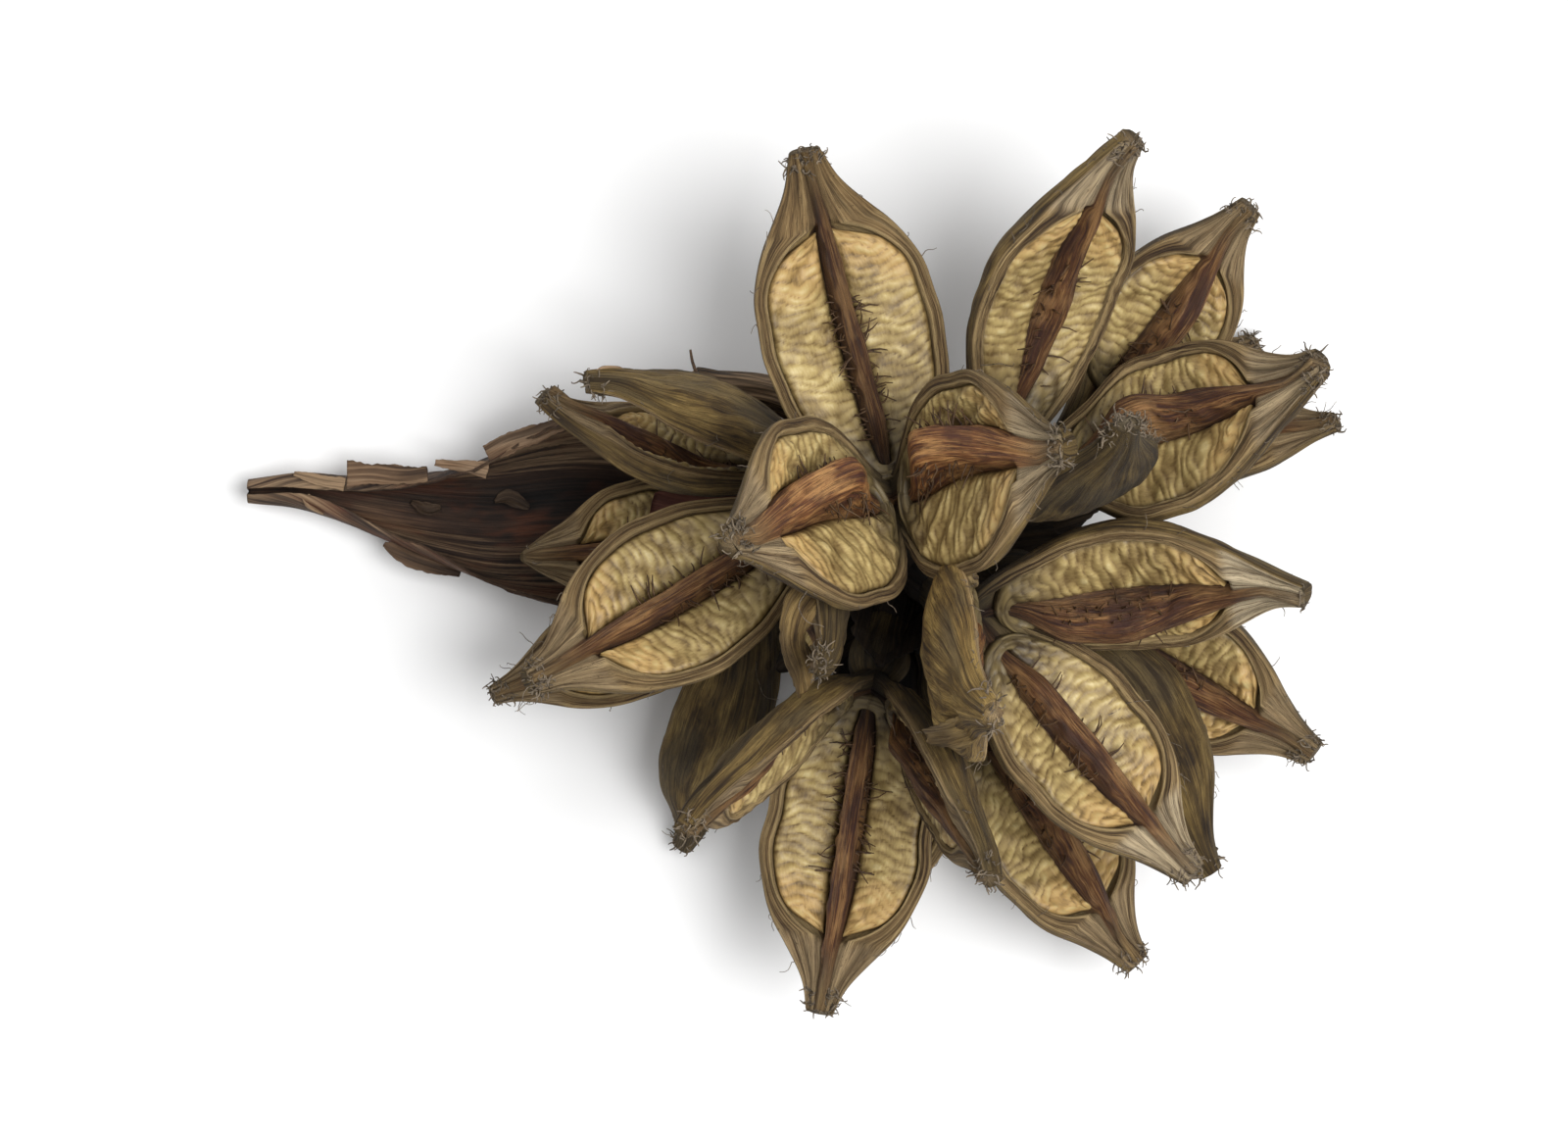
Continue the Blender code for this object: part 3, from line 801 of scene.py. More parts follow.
@dataclass
class ValveForm:
    """The driving shape of one valve: its spine, its frame and the sizes of its cross-section.

    Places and runs along the valve are shares of its length, and foot_shares and belly give its
    half-width as shares of the greatest one.
    """

    base: Place
    valve: Valve
    seed: int
    cup: float = 12.0
    edge_wave: Relief = Relief(0.35, 16.0, 1.0, 5)
    rim_width: float = 3.4
    rim_share: float = 0.27
    rim_lift: float = 0.4
    ledge_gap: float = 0.6
    ledge_width: float = 0.5
    cell_depth: float = 3.2
    cell_run: float = 0.11
    cell_end: float = 0.79
    closing_run: float = 0.03
    rounding_start: float = 0.655
    rounding_share: float = 0.80
    pad_gap: float = 0.004
    floor_level: float = 4.1
    start_run: float = 0.08
    foot_bulk_run: float = 0.12
    tip_bulk: float = 2.4
    tip_bulk_run: tuple[float, float] = (0.75, 0.95)
    septum_half: float = 3.4
    septum_top: float = 2.6
    septum_share: float = 0.36
    septum_least: float = 0.40
    septum_end_lift: float = 0.7
    thinning: float = 0.5
    thinning_run: tuple[float, float] = (0.62, 0.95)
    crest_fade: tuple[float, float] = (0.35, 0.8)
    sway_end: float = 0.9
    foot_sway: float = 0.7
    foot_shares: tuple = (0.2, 0.38, 0.6, 0.85)
    belly: tuple = ((0.38, 0.97), (0.52, 1.0), (0.66, 0.93), (0.79, 0.68), (0.83, 0.55), (0.92, 0.29))

    def __post_init__(self) -> None:
        """Work out the valve's frame."""
        self.origin = np.array(self.base, float)
        chord = np.array(self.valve.tip, float) - self.origin
        self.length = float(np.linalg.norm(chord))
        self.chord = unit(chord)
        faces = np.array(self.valve.faces, float)
        self.inward = unit(faces - self.chord * faces.dot(self.chord))
        self.side = np.cross(self.chord, self.inward)
        start = self.valve.start
        foot = (0.0, start - self.start_run, start, (start + self.belly[0][0]) / 2)
        self.knots = np.array((*zip(foot, self.foot_shares), *self.belly, (1.0, self.valve.end)))

    def spine(self, t: Numbers) -> Numbers:
        """The line of the keel."""
        along = np.multiply.outer(self.length * t, self.chord)
        return self.origin + along - np.multiply.outer(self.valve.bow * np.sin(math.pi * t), self.inward)

    def normal(self, t: Numbers) -> Numbers:
        """The way that the inside faces at each t."""
        slope = -self.valve.bow * math.pi * np.cos(math.pi * t) / self.length
        tangent = unit(self.chord + np.multiply.outer(slope, self.inward))
        return np.cross(self.side, tangent)

    def place(self, t: Numbers, across: Numbers, up: Numbers) -> Numbers:
        """Points at (t, across, up), for arrays of one shape."""
        return self.spine(t) + across[..., None] * self.side + up[..., None] * self.normal(t)

    def sizes(self, t: Numbers) -> Marks:
        """The named sizes of the cross-section at each t.

        Args:
            t: Places along the valve, from 0 at the foot to 1 at the tip.

        Returns:
            Half-widths, levels and depths in millimetres.
        """
        valve = self.valve
        half = curve_through(self.knots[:, 0], self.knots[:, 1], t)
        w = valve.width / 2 * half + self.edge_wave.at(self.seed, t * self.length, 0.0)
        cup = self.cup * half
        bulk = smooth(*self.tip_bulk_run, t) + 1.0 - smooth(0.0, self.foot_bulk_run, t)
        rise_from = valve.start - self.start_run
        rise = smooth(rise_from, rise_from + valve.run_in, t)
        closed = smooth(self.cell_end, self.cell_end + self.closing_run, t)
        depth = self.cell_depth * smooth(valve.start - self.cell_run, valve.start, t) * (1.0 - closed)
        lift = valve.crest * (1.0 - smooth(*self.crest_fade, t)) + self.septum_end_lift
        broad = valve.broad * (1.0 - self.thinning * smooth(*self.thinning_run, t))
        foot = np.minimum(self.septum_half * broad, self.septum_share * w)
        foot = foot * blend(self.septum_least, 1.0, rise)
        foot_level = blend(self.floor_level, cup, closed)
        pad_end = self.cell_end + self.pad_gap - self.rounding_start
        bend = np.clip((t - self.rounding_start) / pad_end, 0.0, 1.0)
        ledge = w - np.minimum(self.rim_width, self.rim_share * w) - self.ledge_gap
        return {
            "t": t, "w": w, "cup": cup, "bulk": self.tip_bulk * bulk, "depth": depth, "closed": closed,
            "foot": foot, "foot_level": foot_level, "rise": rise,
            "top": foot * self.septum_top / self.septum_half,
            "top_level": foot_level + (cup + lift - foot_level) * rise,
            "border": blend(ledge, foot, self.rounding_share * (1.0 - np.sqrt(1.0 - bend ** 2))),
            "sway": valve.sway * np.sin(math.pi * np.clip(t / self.sway_end, 0.0, 1.0)) * rise,
        }

    def border(self, at: Marks, side: int) -> Numbers:
        """Where the pad of one side ends, beyond a septum that leans that way."""
        return np.maximum(at["border"], at["foot"] + self.foot_sway * at["sway"] * side + 0.4)


@dataclass
class Husk:
    """The fine skin of one valve's husk and septum.

    Each row goes from the septum's middle over its side, the floor, the ledge and the rim to one
    edge, round the back to the other edge, and home again.
    """

    form: ValveForm
    rows: int = 88
    tip_crowding: float = 0.96
    top_columns: int = 4
    side_columns: int = 5
    floor_columns: int = 3
    ledge_columns: int = 3
    rim_columns: int = 11
    back_columns: int = 28
    crown: float = 0.8
    swell: Relief = Relief(0.9, 9.0, 26.0, 9)
    top_fibres: Relief = Relief(0.3, 2.0, 16.0)
    ragged: Relief = Relief(0.5, 4.0, 6.0, 2)
    chips: Relief = Relief(0.25, 2.0, 5.0, 4)
    rim_fibres: Relief = Relief(0.16, 1.5, 30.0, 5)
    rim_swell: float = 0.4
    grooves: tuple = ((0.34, 1.0), (0.70, 0.75))
    groove_width: float = 0.085
    groove_depth: float = 0.55
    groove_drift: Relief = Relief(0.09, 1.0, 26.0, 20)
    groove_gaps: Relief = Relief(0.5, 1.0, 18.0, 30)
    back_span: float = 26.0
    back_skin: float = 0.4
    back_relief: tuple = (Relief(0.7, 12.0, 50.0), Relief(0.22, 3.0, 45.0, 1), Relief(0.2, 6.0, 9.0, 2))
    crease_lines: Relief = Relief(1.0, 11.0, 70.0, 3)
    crease_gaps: Relief = Relief(1.0, 14.0, 24.0, 4)
    crease_width: float = 0.10
    crease_height: float = 0.6

    def build(self, finish: Material) -> Object:
        """The husk's mesh."""
        form = self.form
        t = np.linspace(0.0, 1.0, self.rows) ** self.tip_crowding
        at = {key: value[:, None] for key, value in form.sizes(t).items()}
        along = (t * form.length)[:, None]
        right, left = (self._inside(at, along, side) for side in Side)
        left = [[value[:, ::-1] for value in stretch] for stretch in left[::-1]]
        stretches = [*right, self._outside(at, along), *left]
        across, up, fibre, rim, septum, band, inner, groove = (
            np.concatenate(columns, axis=1) for columns in zip(*stretches)
        )
        shape = across.shape
        net = form.place(np.broadcast_to(t[:, None], shape), across, up)
        grain = grain_at(fibre, along, form.seed * 7.3)
        # Painted shade: each valve is darker towards its foot, deep in the head
        deep_shade = 0.9 * (1.0 - smooth(0.02, 0.26, at["t"]))
        marks = even_marks(grain, pale=form.valve.pale, tone=form.valve.tone)
        marks |= {
            "rim": rim, "band": band, "groove": groove,
            "septum": septum * (1.0 - 0.75 * smooth(0.80, 0.97, at["t"])),
            "tip": inner * at["closed"] * (1.0 - 0.5 * septum),
            "dusk": np.clip(deep_shade + form.valve.dusk + np.zeros(shape), -0.8, 1.0),
        }
        return skin("valve", net, marks, finish)

    @staticmethod
    def _stretch(x: Numbers, y: Numbers, side: int, fibre: Numbers,
                 **marks: Union[float, Numbers]) -> list[Numbers]:
        """One stretch of the inside.

        Args:
            x: How far across its points are, on the right side.
            y: How far up they are.
            side: Which half of the valve it lies in.
            fibre: Places across its fibres, in millimetres.
            **marks: What is not 0 of its rim, septum, band and painted shade in grooves.

        Returns:
            Across, up, and the marks of a stretch in their order.
        """
        named = (marks.get(key, 0.0) for key in ("rim", "septum", "band"))
        values = (fibre * side, *named, 1.0, marks.get("groove", 0.0))
        return [x * side, y, *(np.broadcast_to(np.asarray(value, float), x.shape) for value in values)]

    def _inside(self, at: Marks, along: Numbers, side: int) -> list[list[Numbers]]:
        """The stretches from the septum's middle to one edge.

        Args:
            at: Sizes of the cross-section.
            along: Places along the valve, in millimetres.
            side: Which half of the valve.

        Returns:
            The stretches in their order.
        """
        seed = self.form.seed * 11 + side
        sway = at["sway"] * side
        open_cell = 1.0 - at["closed"]
        s = shares(self.top_columns, 0.5)
        swell = self.swell.at(seed, s * side, along) * at["rise"]
        fibres = self.top_fibres.at(seed, s * side * 4.0, along)
        y = at["top_level"] + self.crown * (1.0 - s ** 2) + fibres + swell
        top = self._stretch(at["top"] * s + sway, y, side, s * 4.0, septum=1.0)
        s = shares(self.side_columns)
        ragged = self.ragged.at(seed, s * 3.0, along) * at["rise"] * (1.0 - s)
        x = blend(at["top"], at["foot"], s) + sway * (1.0 - 0.3 * s) + ragged
        y = blend(at["top_level"] + swell[:, -1:], at["foot_level"], s)
        # Painted shade where the septum's side meets the floor
        flank = self._stretch(x, y, side, 4.0 + s * 5.0, septum=1.0, groove=0.9 * s ** 2 * open_cell)
        s = shares(self.floor_columns)
        border = self.form.border(at, side)
        rim_level = at["cup"] + self.form.rim_lift
        x = blend(at["foot"] + self.form.foot_sway * sway, border, s)
        y = blend(at["foot_level"], rim_level - at["depth"], s)
        floor = self._stretch(x, y, side, 9.0 + s * 8.0, rim=0.4, band=0.9)
        s = shares(self.ledge_columns)
        x = blend(border, border + self.form.ledge_width, s)
        y = blend(rim_level - at["depth"], rim_level, s)
        # Painted shade where the floor meets the rim
        ledge = self._stretch(x, y, side, 17.0 + s * 2.0, rim=1.0, band=0.95,
                              groove=0.8 * (1.0 - s) * open_cell)
        return [top, flank, floor, ledge, self._rim(at, along, side, seed)]

    def _rim(self, at: Marks, along: Numbers, side: int, seed: int) -> list[Numbers]:
        """The layered band between a pad and the edge, which widens towards the tip."""
        s = shares(self.rim_columns)
        inner = self.form.border(at, side) + self.form.ledge_width
        # Each groove is cut into the rim and also carries painted shade
        groove = np.zeros(np.broadcast(inner, s).shape)
        for number, (middle, depth) in enumerate(self.grooves):
            drift = self.groove_drift.at(seed + number, 0.0, along)
            there = np.clip(0.6 + self.groove_gaps.at(seed + number, 0.0, along), 0.0, 1.0)
            groove += depth * there * np.exp(-(((s - middle - drift) / self.groove_width) ** 2))
        groove = np.clip(groove, 0.0, 1.0)
        chips = self.chips.at(seed, s * 4.0, along) * (1.0 - s ** 2)
        fibres = self.rim_fibres.at(seed, s * 8.0, along)
        arch = np.sin(math.pi * s)
        y = at["cup"] + self.form.rim_lift * (1.0 - s ** 4) + chips + fibres - at["closed"] * arch
        y = y + self.rim_swell * arch * (1.0 - at["closed"])
        y = y - self.groove_depth * groove * smooth(0.5, 4.0, at["w"] - inner)
        x = blend(inner, at["w"], s)
        return self._stretch(x, y, side, 19.0 + s * 7.0, rim=1.0, band=1.0 - s, groove=groove)

    def _outside(self, at: Marks, along: Numbers) -> list[Numbers]:
        """The back of the husk, from one edge round the keel to the other."""
        a = 1.0 - 2.0 * shares(self.back_columns)[:, :-1]
        turn = a * math.pi / 2
        seed = self.form.seed * 11 + 7
        span = a * self.back_span
        relief = sum(part.at(seed, span, along) for part in self.back_relief)
        crease = np.exp(-((self.crease_lines.at(seed, span, along) / self.crease_width) ** 2))
        crease = crease * smooth(-0.2, 0.5, self.crease_gaps.at(seed, span, along))
        fade = (1.0 - a ** 6) * np.minimum(1.0, at["w"] / 12.0)
        x = at["w"] * np.sin(turn) * (1.0 + 0.06 * np.sin(2.0 * turn) ** 2)
        y = at["cup"] * (1.0 - np.cos(turn)) - (at["bulk"] + self.back_skin) * np.cos(turn)
        y = y + (relief + self.crease_height * crease) * fade
        zero = np.zeros(x.shape)
        edge = smooth(0.93, 1.0, np.abs(a)) + zero
        # The last value is painted shade in the back's creases
        return [x, y, span + zero, edge * 0.7, zero, 1.0 - edge * 0.9, zero, crease * fade * 0.7]


@dataclass
class Bed:
    """The corrugated lining of one valve, which turns round below the septum."""

    form: ValveForm
    rows: int = 124
    turn_rows: int = 8
    turn_reach: tuple[float, float] = (0.012, 0.055)
    top_columns: int = 17
    span: float = 14.0
    thick: float = 2.35
    least_thick: float = 0.25
    edge_level: float = 0.6
    edge_run: float = 0.10
    lift: float = 0.15
    bulge: float = 0.5
    pitch: float = 3.05
    height: float = 0.58
    crest_middle: float = 0.55
    wobble: tuple[Relief, Relief] = (Relief(0.95, 9.0, 12.0, 0, 12), Relief(0.3, 3.0, 6.0, 7))
    bead_pitch: tuple[float, float] = (3.1, 0.43)
    bead_drift: Relief = Relief(1.2, 8.0, 8.0, 1)
    uneven: Relief = Relief(0.45, 6.0, 8.0, 3)
    lumps: tuple[Relief, Relief] = (Relief(0.55, 7.0, 8.0, 2), Relief(0.14, 1.8, 7.0, 4))

    def build(self, finish: Material) -> Object:
        """The lining's mesh."""
        start = self.form.valve.start
        turn = np.linspace(0.0, math.pi / 2, self.turn_rows, endpoint=False)
        run = np.linspace(0.0, 1.0, self.rows)
        straight = start + (self.form.cell_end - self.form.pad_gap - start) * run
        inner, outer = (np.concatenate([start - reach * np.cos(turn), straight]) for reach in self.turn_reach)
        share = np.concatenate([np.sin(turn), np.ones(self.rows)])
        far = np.concatenate([np.zeros(self.turn_rows), run])
        shape = [values[:, None] for values in (inner, outer, share, far)]
        (right, right_marks), (left, left_marks) = (self._half(*shape, side) for side in Side)
        net = np.concatenate([left[:0:-1], right])
        marks = {key: np.concatenate([left_marks[key][:0:-1], right_marks[key]]) for key in right_marks}
        return skin("bed", net, marks, finish)

    def _half(self, t_in: Numbers, t_out: Numbers, share: Numbers, far: Numbers,
              side: int) -> tuple[Numbers, Marks]:
        """One pad.

        Args:
            t_in: Places along the valve beside the septum.
            t_out: Places along the valve beside the rim.
            share: How much of its width the pad has there.
            far: 0 at the pad's foot and 1 at its far end.
            side: Which half of the valve it lies in.

        Returns:
            The net of points and the marks.
        """
        form = self.form
        s = np.concatenate([[0.0, 0.0], np.linspace(0.0, 1.0, self.top_columns), [1.0, 1.0]])[None, :]
        level = np.ones(self.top_columns)
        level = np.concatenate([[0.0, self.edge_level], level, [self.edge_level, 0.0]])[None, :]
        t = blend(t_in, t_out, s)
        at = {key: value.reshape(t.shape) for key, value in form.sizes(t.ravel()).items()}
        root = at["foot"] + form.foot_sway * at["sway"] * side
        border = form.border(at, side)
        round_end = np.sqrt(np.clip(1.0 - smooth(0.90, 1.0, far) ** 2, 0.0, 1.0))
        inner = (root + 0.1) * share
        x = blend(inner, blend(inner + 0.4, (border - 0.05) * share, round_end), s)
        width = np.maximum(border - root, 0.1)
        border_level = at["cup"] + form.rim_lift - at["depth"]
        floor = blend(at["foot_level"], border_level, np.clip((x - root) / width, 0.0, 1.0))
        along = t * form.length
        crest, lumps = self._ridges(s, along, side)
        strength = self.height * (0.75 + 0.35 * smooth(0.5, 1.0, far) - 0.15 * (1.0 - smooth(0.05, 0.4, far)))
        edge = np.clip(np.minimum(s, 1.0 - s) / self.edge_run, 0.0, 1.0)
        crown = 0.55 + 0.45 * np.sqrt(1.0 - (1.0 - edge) ** 2)
        thick = self.thick * np.minimum(1.0, width / 6.0) + self.least_thick
        top = thick * crown * (0.35 + 0.65 * round_end)
        top = top + ((crest - self.crest_middle) * 1.5 * strength + lumps) * edge
        top = top + self.bulge * np.sin(math.pi * s) * round_end
        net = form.place(t, x * side, floor + self.lift + level * np.maximum(top, 0.3))
        zero = np.zeros(t.shape)
        # Painted shade: the pad is darker at its foot and along its edges beside the septum and the rim
        deep_shade = 0.8 * (1.0 - smooth(0.0, 0.16, far)) + 0.45 * (1.0 - edge)
        marks = {
            "grain": grain_at(s * self.span * side, along, form.seed * 5.7 + side),
            # Ridge height, which the lining's colour reads as painted light on ridges and painted shade
            # between them
            "crest": crest * (0.35 + 0.65 * edge),
            "far": smooth(0.45, 1.0, far) + zero,
            "near": 1.0 - smooth(0.0, 0.42, far) + zero,
            "dusk": np.clip(max(form.valve.dusk, 0.0) + deep_shade, 0.0, 1.0),
        }
        return net, marks

    def _ridges(self, s: Numbers, along: Numbers, side: int) -> tuple[Numbers, Numbers]:
        """The corrugations of a pad, which shift by half a ridge in its middle.

        Args:
            s: Places across the pad, from 0 beside the septum to 1 beside the rim.
            along: Places along the valve, in millimetres.
            side: Which half of the valve.

        Returns:
            Heights of the ridges, from 0 to 1, and of the lumps below them, in millimetres.
        """
        seed = self.form.seed * 17 + side
        across = s * self.span
        draw = np.random.default_rng(seed)
        offset = draw.choice((0.0, 0.5, -0.5)) * smooth(0.38, 0.62, s)
        bend = draw.uniform(1.0, 2.4) * np.sin(math.pi * s) - draw.uniform(0.6, 2.0) * s
        wobble = sum(part.at(seed, across, along) for part in self.wobble)
        phase = (along + bend + wobble) / self.pitch + offset
        row = np.floor(phase)
        ridge = np.sin(math.pi * (phase - row) ** 1.5) ** 0.5
        turns = s * self.bead_pitch[0] + self.bead_pitch[1] * row
        beads = 0.5 + 0.5 * np.sin(2.0 * math.pi * turns + self.bead_drift.at(seed, across, along))
        uneven = np.clip(0.80 + self.uneven.at(seed, across, along), 0.15, 1.2)
        crest = np.clip(ridge * uneven * (0.62 + 0.38 * beads), 0.0, 1.0)
        return crest, sum(part.at(seed, across, along) for part in self.lumps)


@dataclass(frozen=True)
class Capsule:
    """A woody capsule: husks of its valves, their linings, bristles and the tufts at their tips.

    The foot is given as distances from the base towards the heart, each with a radius.
    """

    name: str
    base: Place
    valves: tuple[Valve, ...]
    foot: tuple = ((-3.0, 2.5), (-1.0, 6.0), (2.0, 8.0), (7.0, 8.3), (12.0, 6.0), (17.0, 5.6))
    foot_rows: int = 22
    bristle_end: float = 0.62
    bristle_root: float = 1.0
    tuft_start: float = 0.945
    tuft_root: float = 0.025
    wall: tuple[float, float] = (1.3, 1.2)

    def build(self, finishes: Finishes, number: int) -> list[Object]:
        """All pieces of the capsule, riding on the body and standing for their solids.

        Args:
            finishes: The materials.
            number: The capsule's number, from 1, which starts its random draws.

        Returns:
            The pieces.
        """
        forms = [ValveForm(self.base, valve, number * 10 + i + 1) for i, valve in enumerate(self.valves)]
        husks = [Husk(form).build(finishes.husk) for form in forms]
        husk = joined(f"woody_{self.name}", [self._foot(finishes.husk, number), *husks])
        beds = joined(f"lining_{self.name}", [Bed(form).build(finishes.bed) for form in forms])
        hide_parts(f"husk_{self.name}")
        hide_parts(*(f"seed_bed_{self.name}_{i + 1}" for i in range(len(self.valves))))
        bristles = self._bristles(forms, finishes.bristle)
        tufts = self._tufts(forms, finishes.tuft)
        for piece, slot in ((husk, "husk"), (beds, "seed_bed"), (bristles, "husk"), (tufts, "husk")):
            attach(piece, BODY)
        return [husk, beds, bristles, tufts]

    def _foot(self, finish: Material, number: int) -> Object:
        """The turned foot that the valves part from."""
        base = np.array(self.base, float)
        places, sizes = np.array(self.foot).T
        distance = np.linspace(places[0], places[-1], self.foot_rows)
        line = base + np.multiply.outer(distance, unit(HEART - base))
        return tube("foot", line, curve_through(places, sizes, distance), finish, number)

    def _bristles(self, forms: list[ValveForm], finish: Material) -> Object:
        """Stubs of seed stalks along both sides of every septum."""
        strands = Strands(f"bristles_{self.name}")
        for form in forms:
            draw = np.random.default_rng(form.seed + Seed.BRISTLES)
            for _ in range(form.valve.bristles):
                side = draw.choice((-1.0, 1.0))
                t = np.array([draw.uniform(form.valve.start + 0.04, self.bristle_end)])
                at = form.sizes(t)
                high = draw.uniform(0.35, 0.85)
                across = blend(at["foot"], at["top"], high) * side
                across = across + at["sway"] * (0.7 + 0.3 * high) - 0.5 * side
                root = form.place(t, across, blend(at["foot_level"], at["top_level"], high))[0]
                lean = form.chord * draw.normal(0.1, 0.45)
                run = side * form.side * 0.9 + form.normal(t)[0] * draw.uniform(-0.15, 0.8) + lean
                length = draw.uniform(3.0, 8.5) if draw.random() < 0.6 else draw.uniform(1.0, 3.0)
                line = wander(draw, root, run, length, 3, 0.2)
                line[0] -= side * form.side * self.bristle_root
                strands.add(line, draw.uniform(0.26, 0.44), 0.14)
        return strands.build(finish)

    def _tufts(self, forms: list[ValveForm], finish: Material) -> Object:
        """Tangled fibres at the tips, and a few loose ones along the edges near them."""
        strands = Strands(f"tufts_{self.name}")
        for form in forms:
            draw = np.random.default_rng(form.seed + Seed.TUFTS)
            for _ in range(form.valve.tuft):
                strands.add(self._tip_fibre(form, draw), draw.uniform(0.22, 0.46), 0.14)
            for _ in range(form.valve.tuft // 6):
                strands.add(self._edge_fibre(form, draw), 0.13, 0.08)
        return strands.build(finish)

    def _tip_fibre(self, form: ValveForm, draw: np.random.Generator) -> Numbers:
        """A curled fibre that stands out from the tip and is rooted inside it."""
        t = np.array([draw.uniform(self.tuft_start, 1.0)])
        at = form.sizes(t)
        angle = draw.uniform(0.0, 2.0 * math.pi)
        middle = at["cup"] * 0.5
        across = at["w"] * 0.9 * math.cos(angle)
        up = middle + (middle + 1.0) * math.sin(angle)
        out = form.side * math.cos(angle) + form.normal(t)[0] * math.sin(angle)
        root = form.place(t, across, up)[0] - out * 0.6
        run = form.chord * draw.uniform(-0.2, 1.0) + out * draw.uniform(0.1, 1.0)
        line = wander(draw, root, run, draw.uniform(1.5, 5.0), 6, 0.75)
        line[0] = form.place(t - self.tuft_root, across * 0.5, 0.5 * (up + middle))[0]
        return line

    def _edge_fibre(self, form: ValveForm, draw: np.random.Generator) -> Numbers:
        """A loose fibre that runs along the edge towards the tip and is rooted in the wall."""
        t = np.array([draw.uniform(0.5, 0.97)])
        at = form.sizes(t)
        side = draw.choice((-1.0, 1.0))
        root = form.place(t, side * at["w"], at["cup"] + draw.uniform(-2.0, 0.3))[0]
        run = form.chord * draw.uniform(0.6, 1.0) + side * form.side * draw.uniform(-0.1, 0.25)
        line = wander(draw, root, run, draw.uniform(2.0, 6.0), 7, 0.3)
        line[0] = form.place(t, side * (at["w"] - self.wall[0]), at["cup"] - self.wall[1])[0]
        return line


# A valve's painted shade number darkens a valve that lies in shade, and below 0 paints light on one that
# catches it
CAPSULES = (
    Capsule("crown", (30, 18, 74), (
        Valve((5, 113, 84), (0.25, -0.1, 1.0), width=51, start=0.11, broad=0.8, tuft=60, bristles=84,
              tone=-0.3, pale=0.0),
        Valve((-14, 7, 147), (0.7, 0.4, 0.6), width=54, bow=4, crest=7.0, start=0.17, tuft=70, sway=7.5,
              broad=1.7, run_in=0.36, tone=0.7, pale=0.3),
        Valve((71, 31, 151), (-0.75, 0.05, 0.7), width=54, bow=4, crest=7.0, start=0.17, tuft=80, sway=-9.0,
              broad=1.7, run_in=0.36, tone=0.95, pale=0.5, bristles=80),
    )),
    Capsule("upper_right", (60, 28, 56), (
        Valve((92, 115, 96), (0.6, -0.5, 0.6), width=54, bow=17, crest=-2, broad=0.85, start=0.15, sway=6.0,
              tuft=90, pale=0.5),
        Valve((144, 55, 90), (-0.3, 0.6, 0.74), width=58, bow=17, crest=6, start=0.22, sway=-6.5, tuft=90,
              pale=0.4),
        # Painted shade: this valve's back lies in shade
        Valve((87, 37, 141), (-0.3, 1.0, 0.0), width=46, bow=18, start=0.2, tuft=200, dusk=0.6, pale=0.8),
    )),
    Capsule("far_right", (77, 34, 32), (
        Valve((130, 102, 46), (0.35, -0.3, 0.9), width=44, start=0.28, sway=5.0),
        Valve((138, 66, 2), (0.0, 0.0, 1.0), width=34, crest=-3, start=0.2),
        Valve((154, 41, 50), (-0.2, 0.3, 0.7), width=32, crest=-3, start=0.28, tuft=50),
    )),
    Capsule("right", (49, -11, 72), (
        Valve((139, -6, 95), (-0.1, -0.75, 0.7), width=47, bow=16, crest=5, start=0.12, sway=12.0, tuft=24,
              pale=1.0, bristles=70),
        Valve((111, -83, 75), (0.35, 0.3, 0.88), width=46, start=0.16, tuft=60, pale=0.7),
        # Painted light: this valve faces sideways and is lightened
        Valve((52, -36, 152), (1.0, 0.1, 0.0), width=52, bow=14, start=0.10, tuft=90, dusk=-0.8),
    )),
    Capsule("front", (25, -29, 52), (
        Valve((10, -123, 50), (-0.15, 0.1, 1.0), bow=11, start=0.09, bristles=70),
        Valve((54, -80, 117), (-1.0, -0.2, 0.0), width=40, start=0.2, dusk=0.25),
        Valve((-26, -67, 118), (0.5, -0.7, 0.35), width=42, start=0.2, tuft=70, crest=-7, sway=6.0,
              broad=0.7),
    )),
    Capsule("left", (8, 14, 60), (
        Valve((-68, -30, 92), (-0.1, 0.2, 0.95)),
        Valve((10, -25, 125), (-1.0, 0.0, 0.1), width=40, start=0.22),
    )),
    Capsule("upper_left", (12, 28, 44), (
        Valve((-53, 51, 85), (0.0, -1.0, -0.5), width=38, bow=12, crest=-6, start=0.2, tuft=50),
        Valve((-67, 48, 56), (0.0, 0.85, 0.5), width=34, bow=15, crest=-6, start=0.2),
    )),
    Capsule("lower_right", (70, -3, 40), (
        Valve((149, -51, 42), (0.0, -0.5, 0.85), width=44, start=0.28, sway=4.0),
        Valve((117, -83, 65), (0.1, 0.0, -1.0), width=42, crest=-4, start=0.27, dusk=0.25),
        Valve((139, -35, 2), (0.0, -0.25, -1.0), width=36, crest=-3, start=0.25),
    )),
    Capsule("low_front", (48, -37, 32), (
        Valve((100, -112, 30), (0.5, 0.2, 0.8), sway=-4.0),
        Valve((14, -104, 2), (0.2, 0.0, 0.9), width=36),
    )),
    Capsule("low_left", (-6, -6, 42), (
        Valve((-29, -80, 6), (-0.7, 0.0, -0.6), width=42, dusk=0.3),
        Valve((-82, -35, 40), (0.0, 0.0, 1.0), width=32, crest=-3, start=0.27),
    )),
    Capsule("bract_side", (-4, 8, 26), (
        Valve((-74, 4, 30), (0.0, 0.1, 1.0), width=40, crest=0, end=0.05, tuft=4, bristles=6),
    )),
)


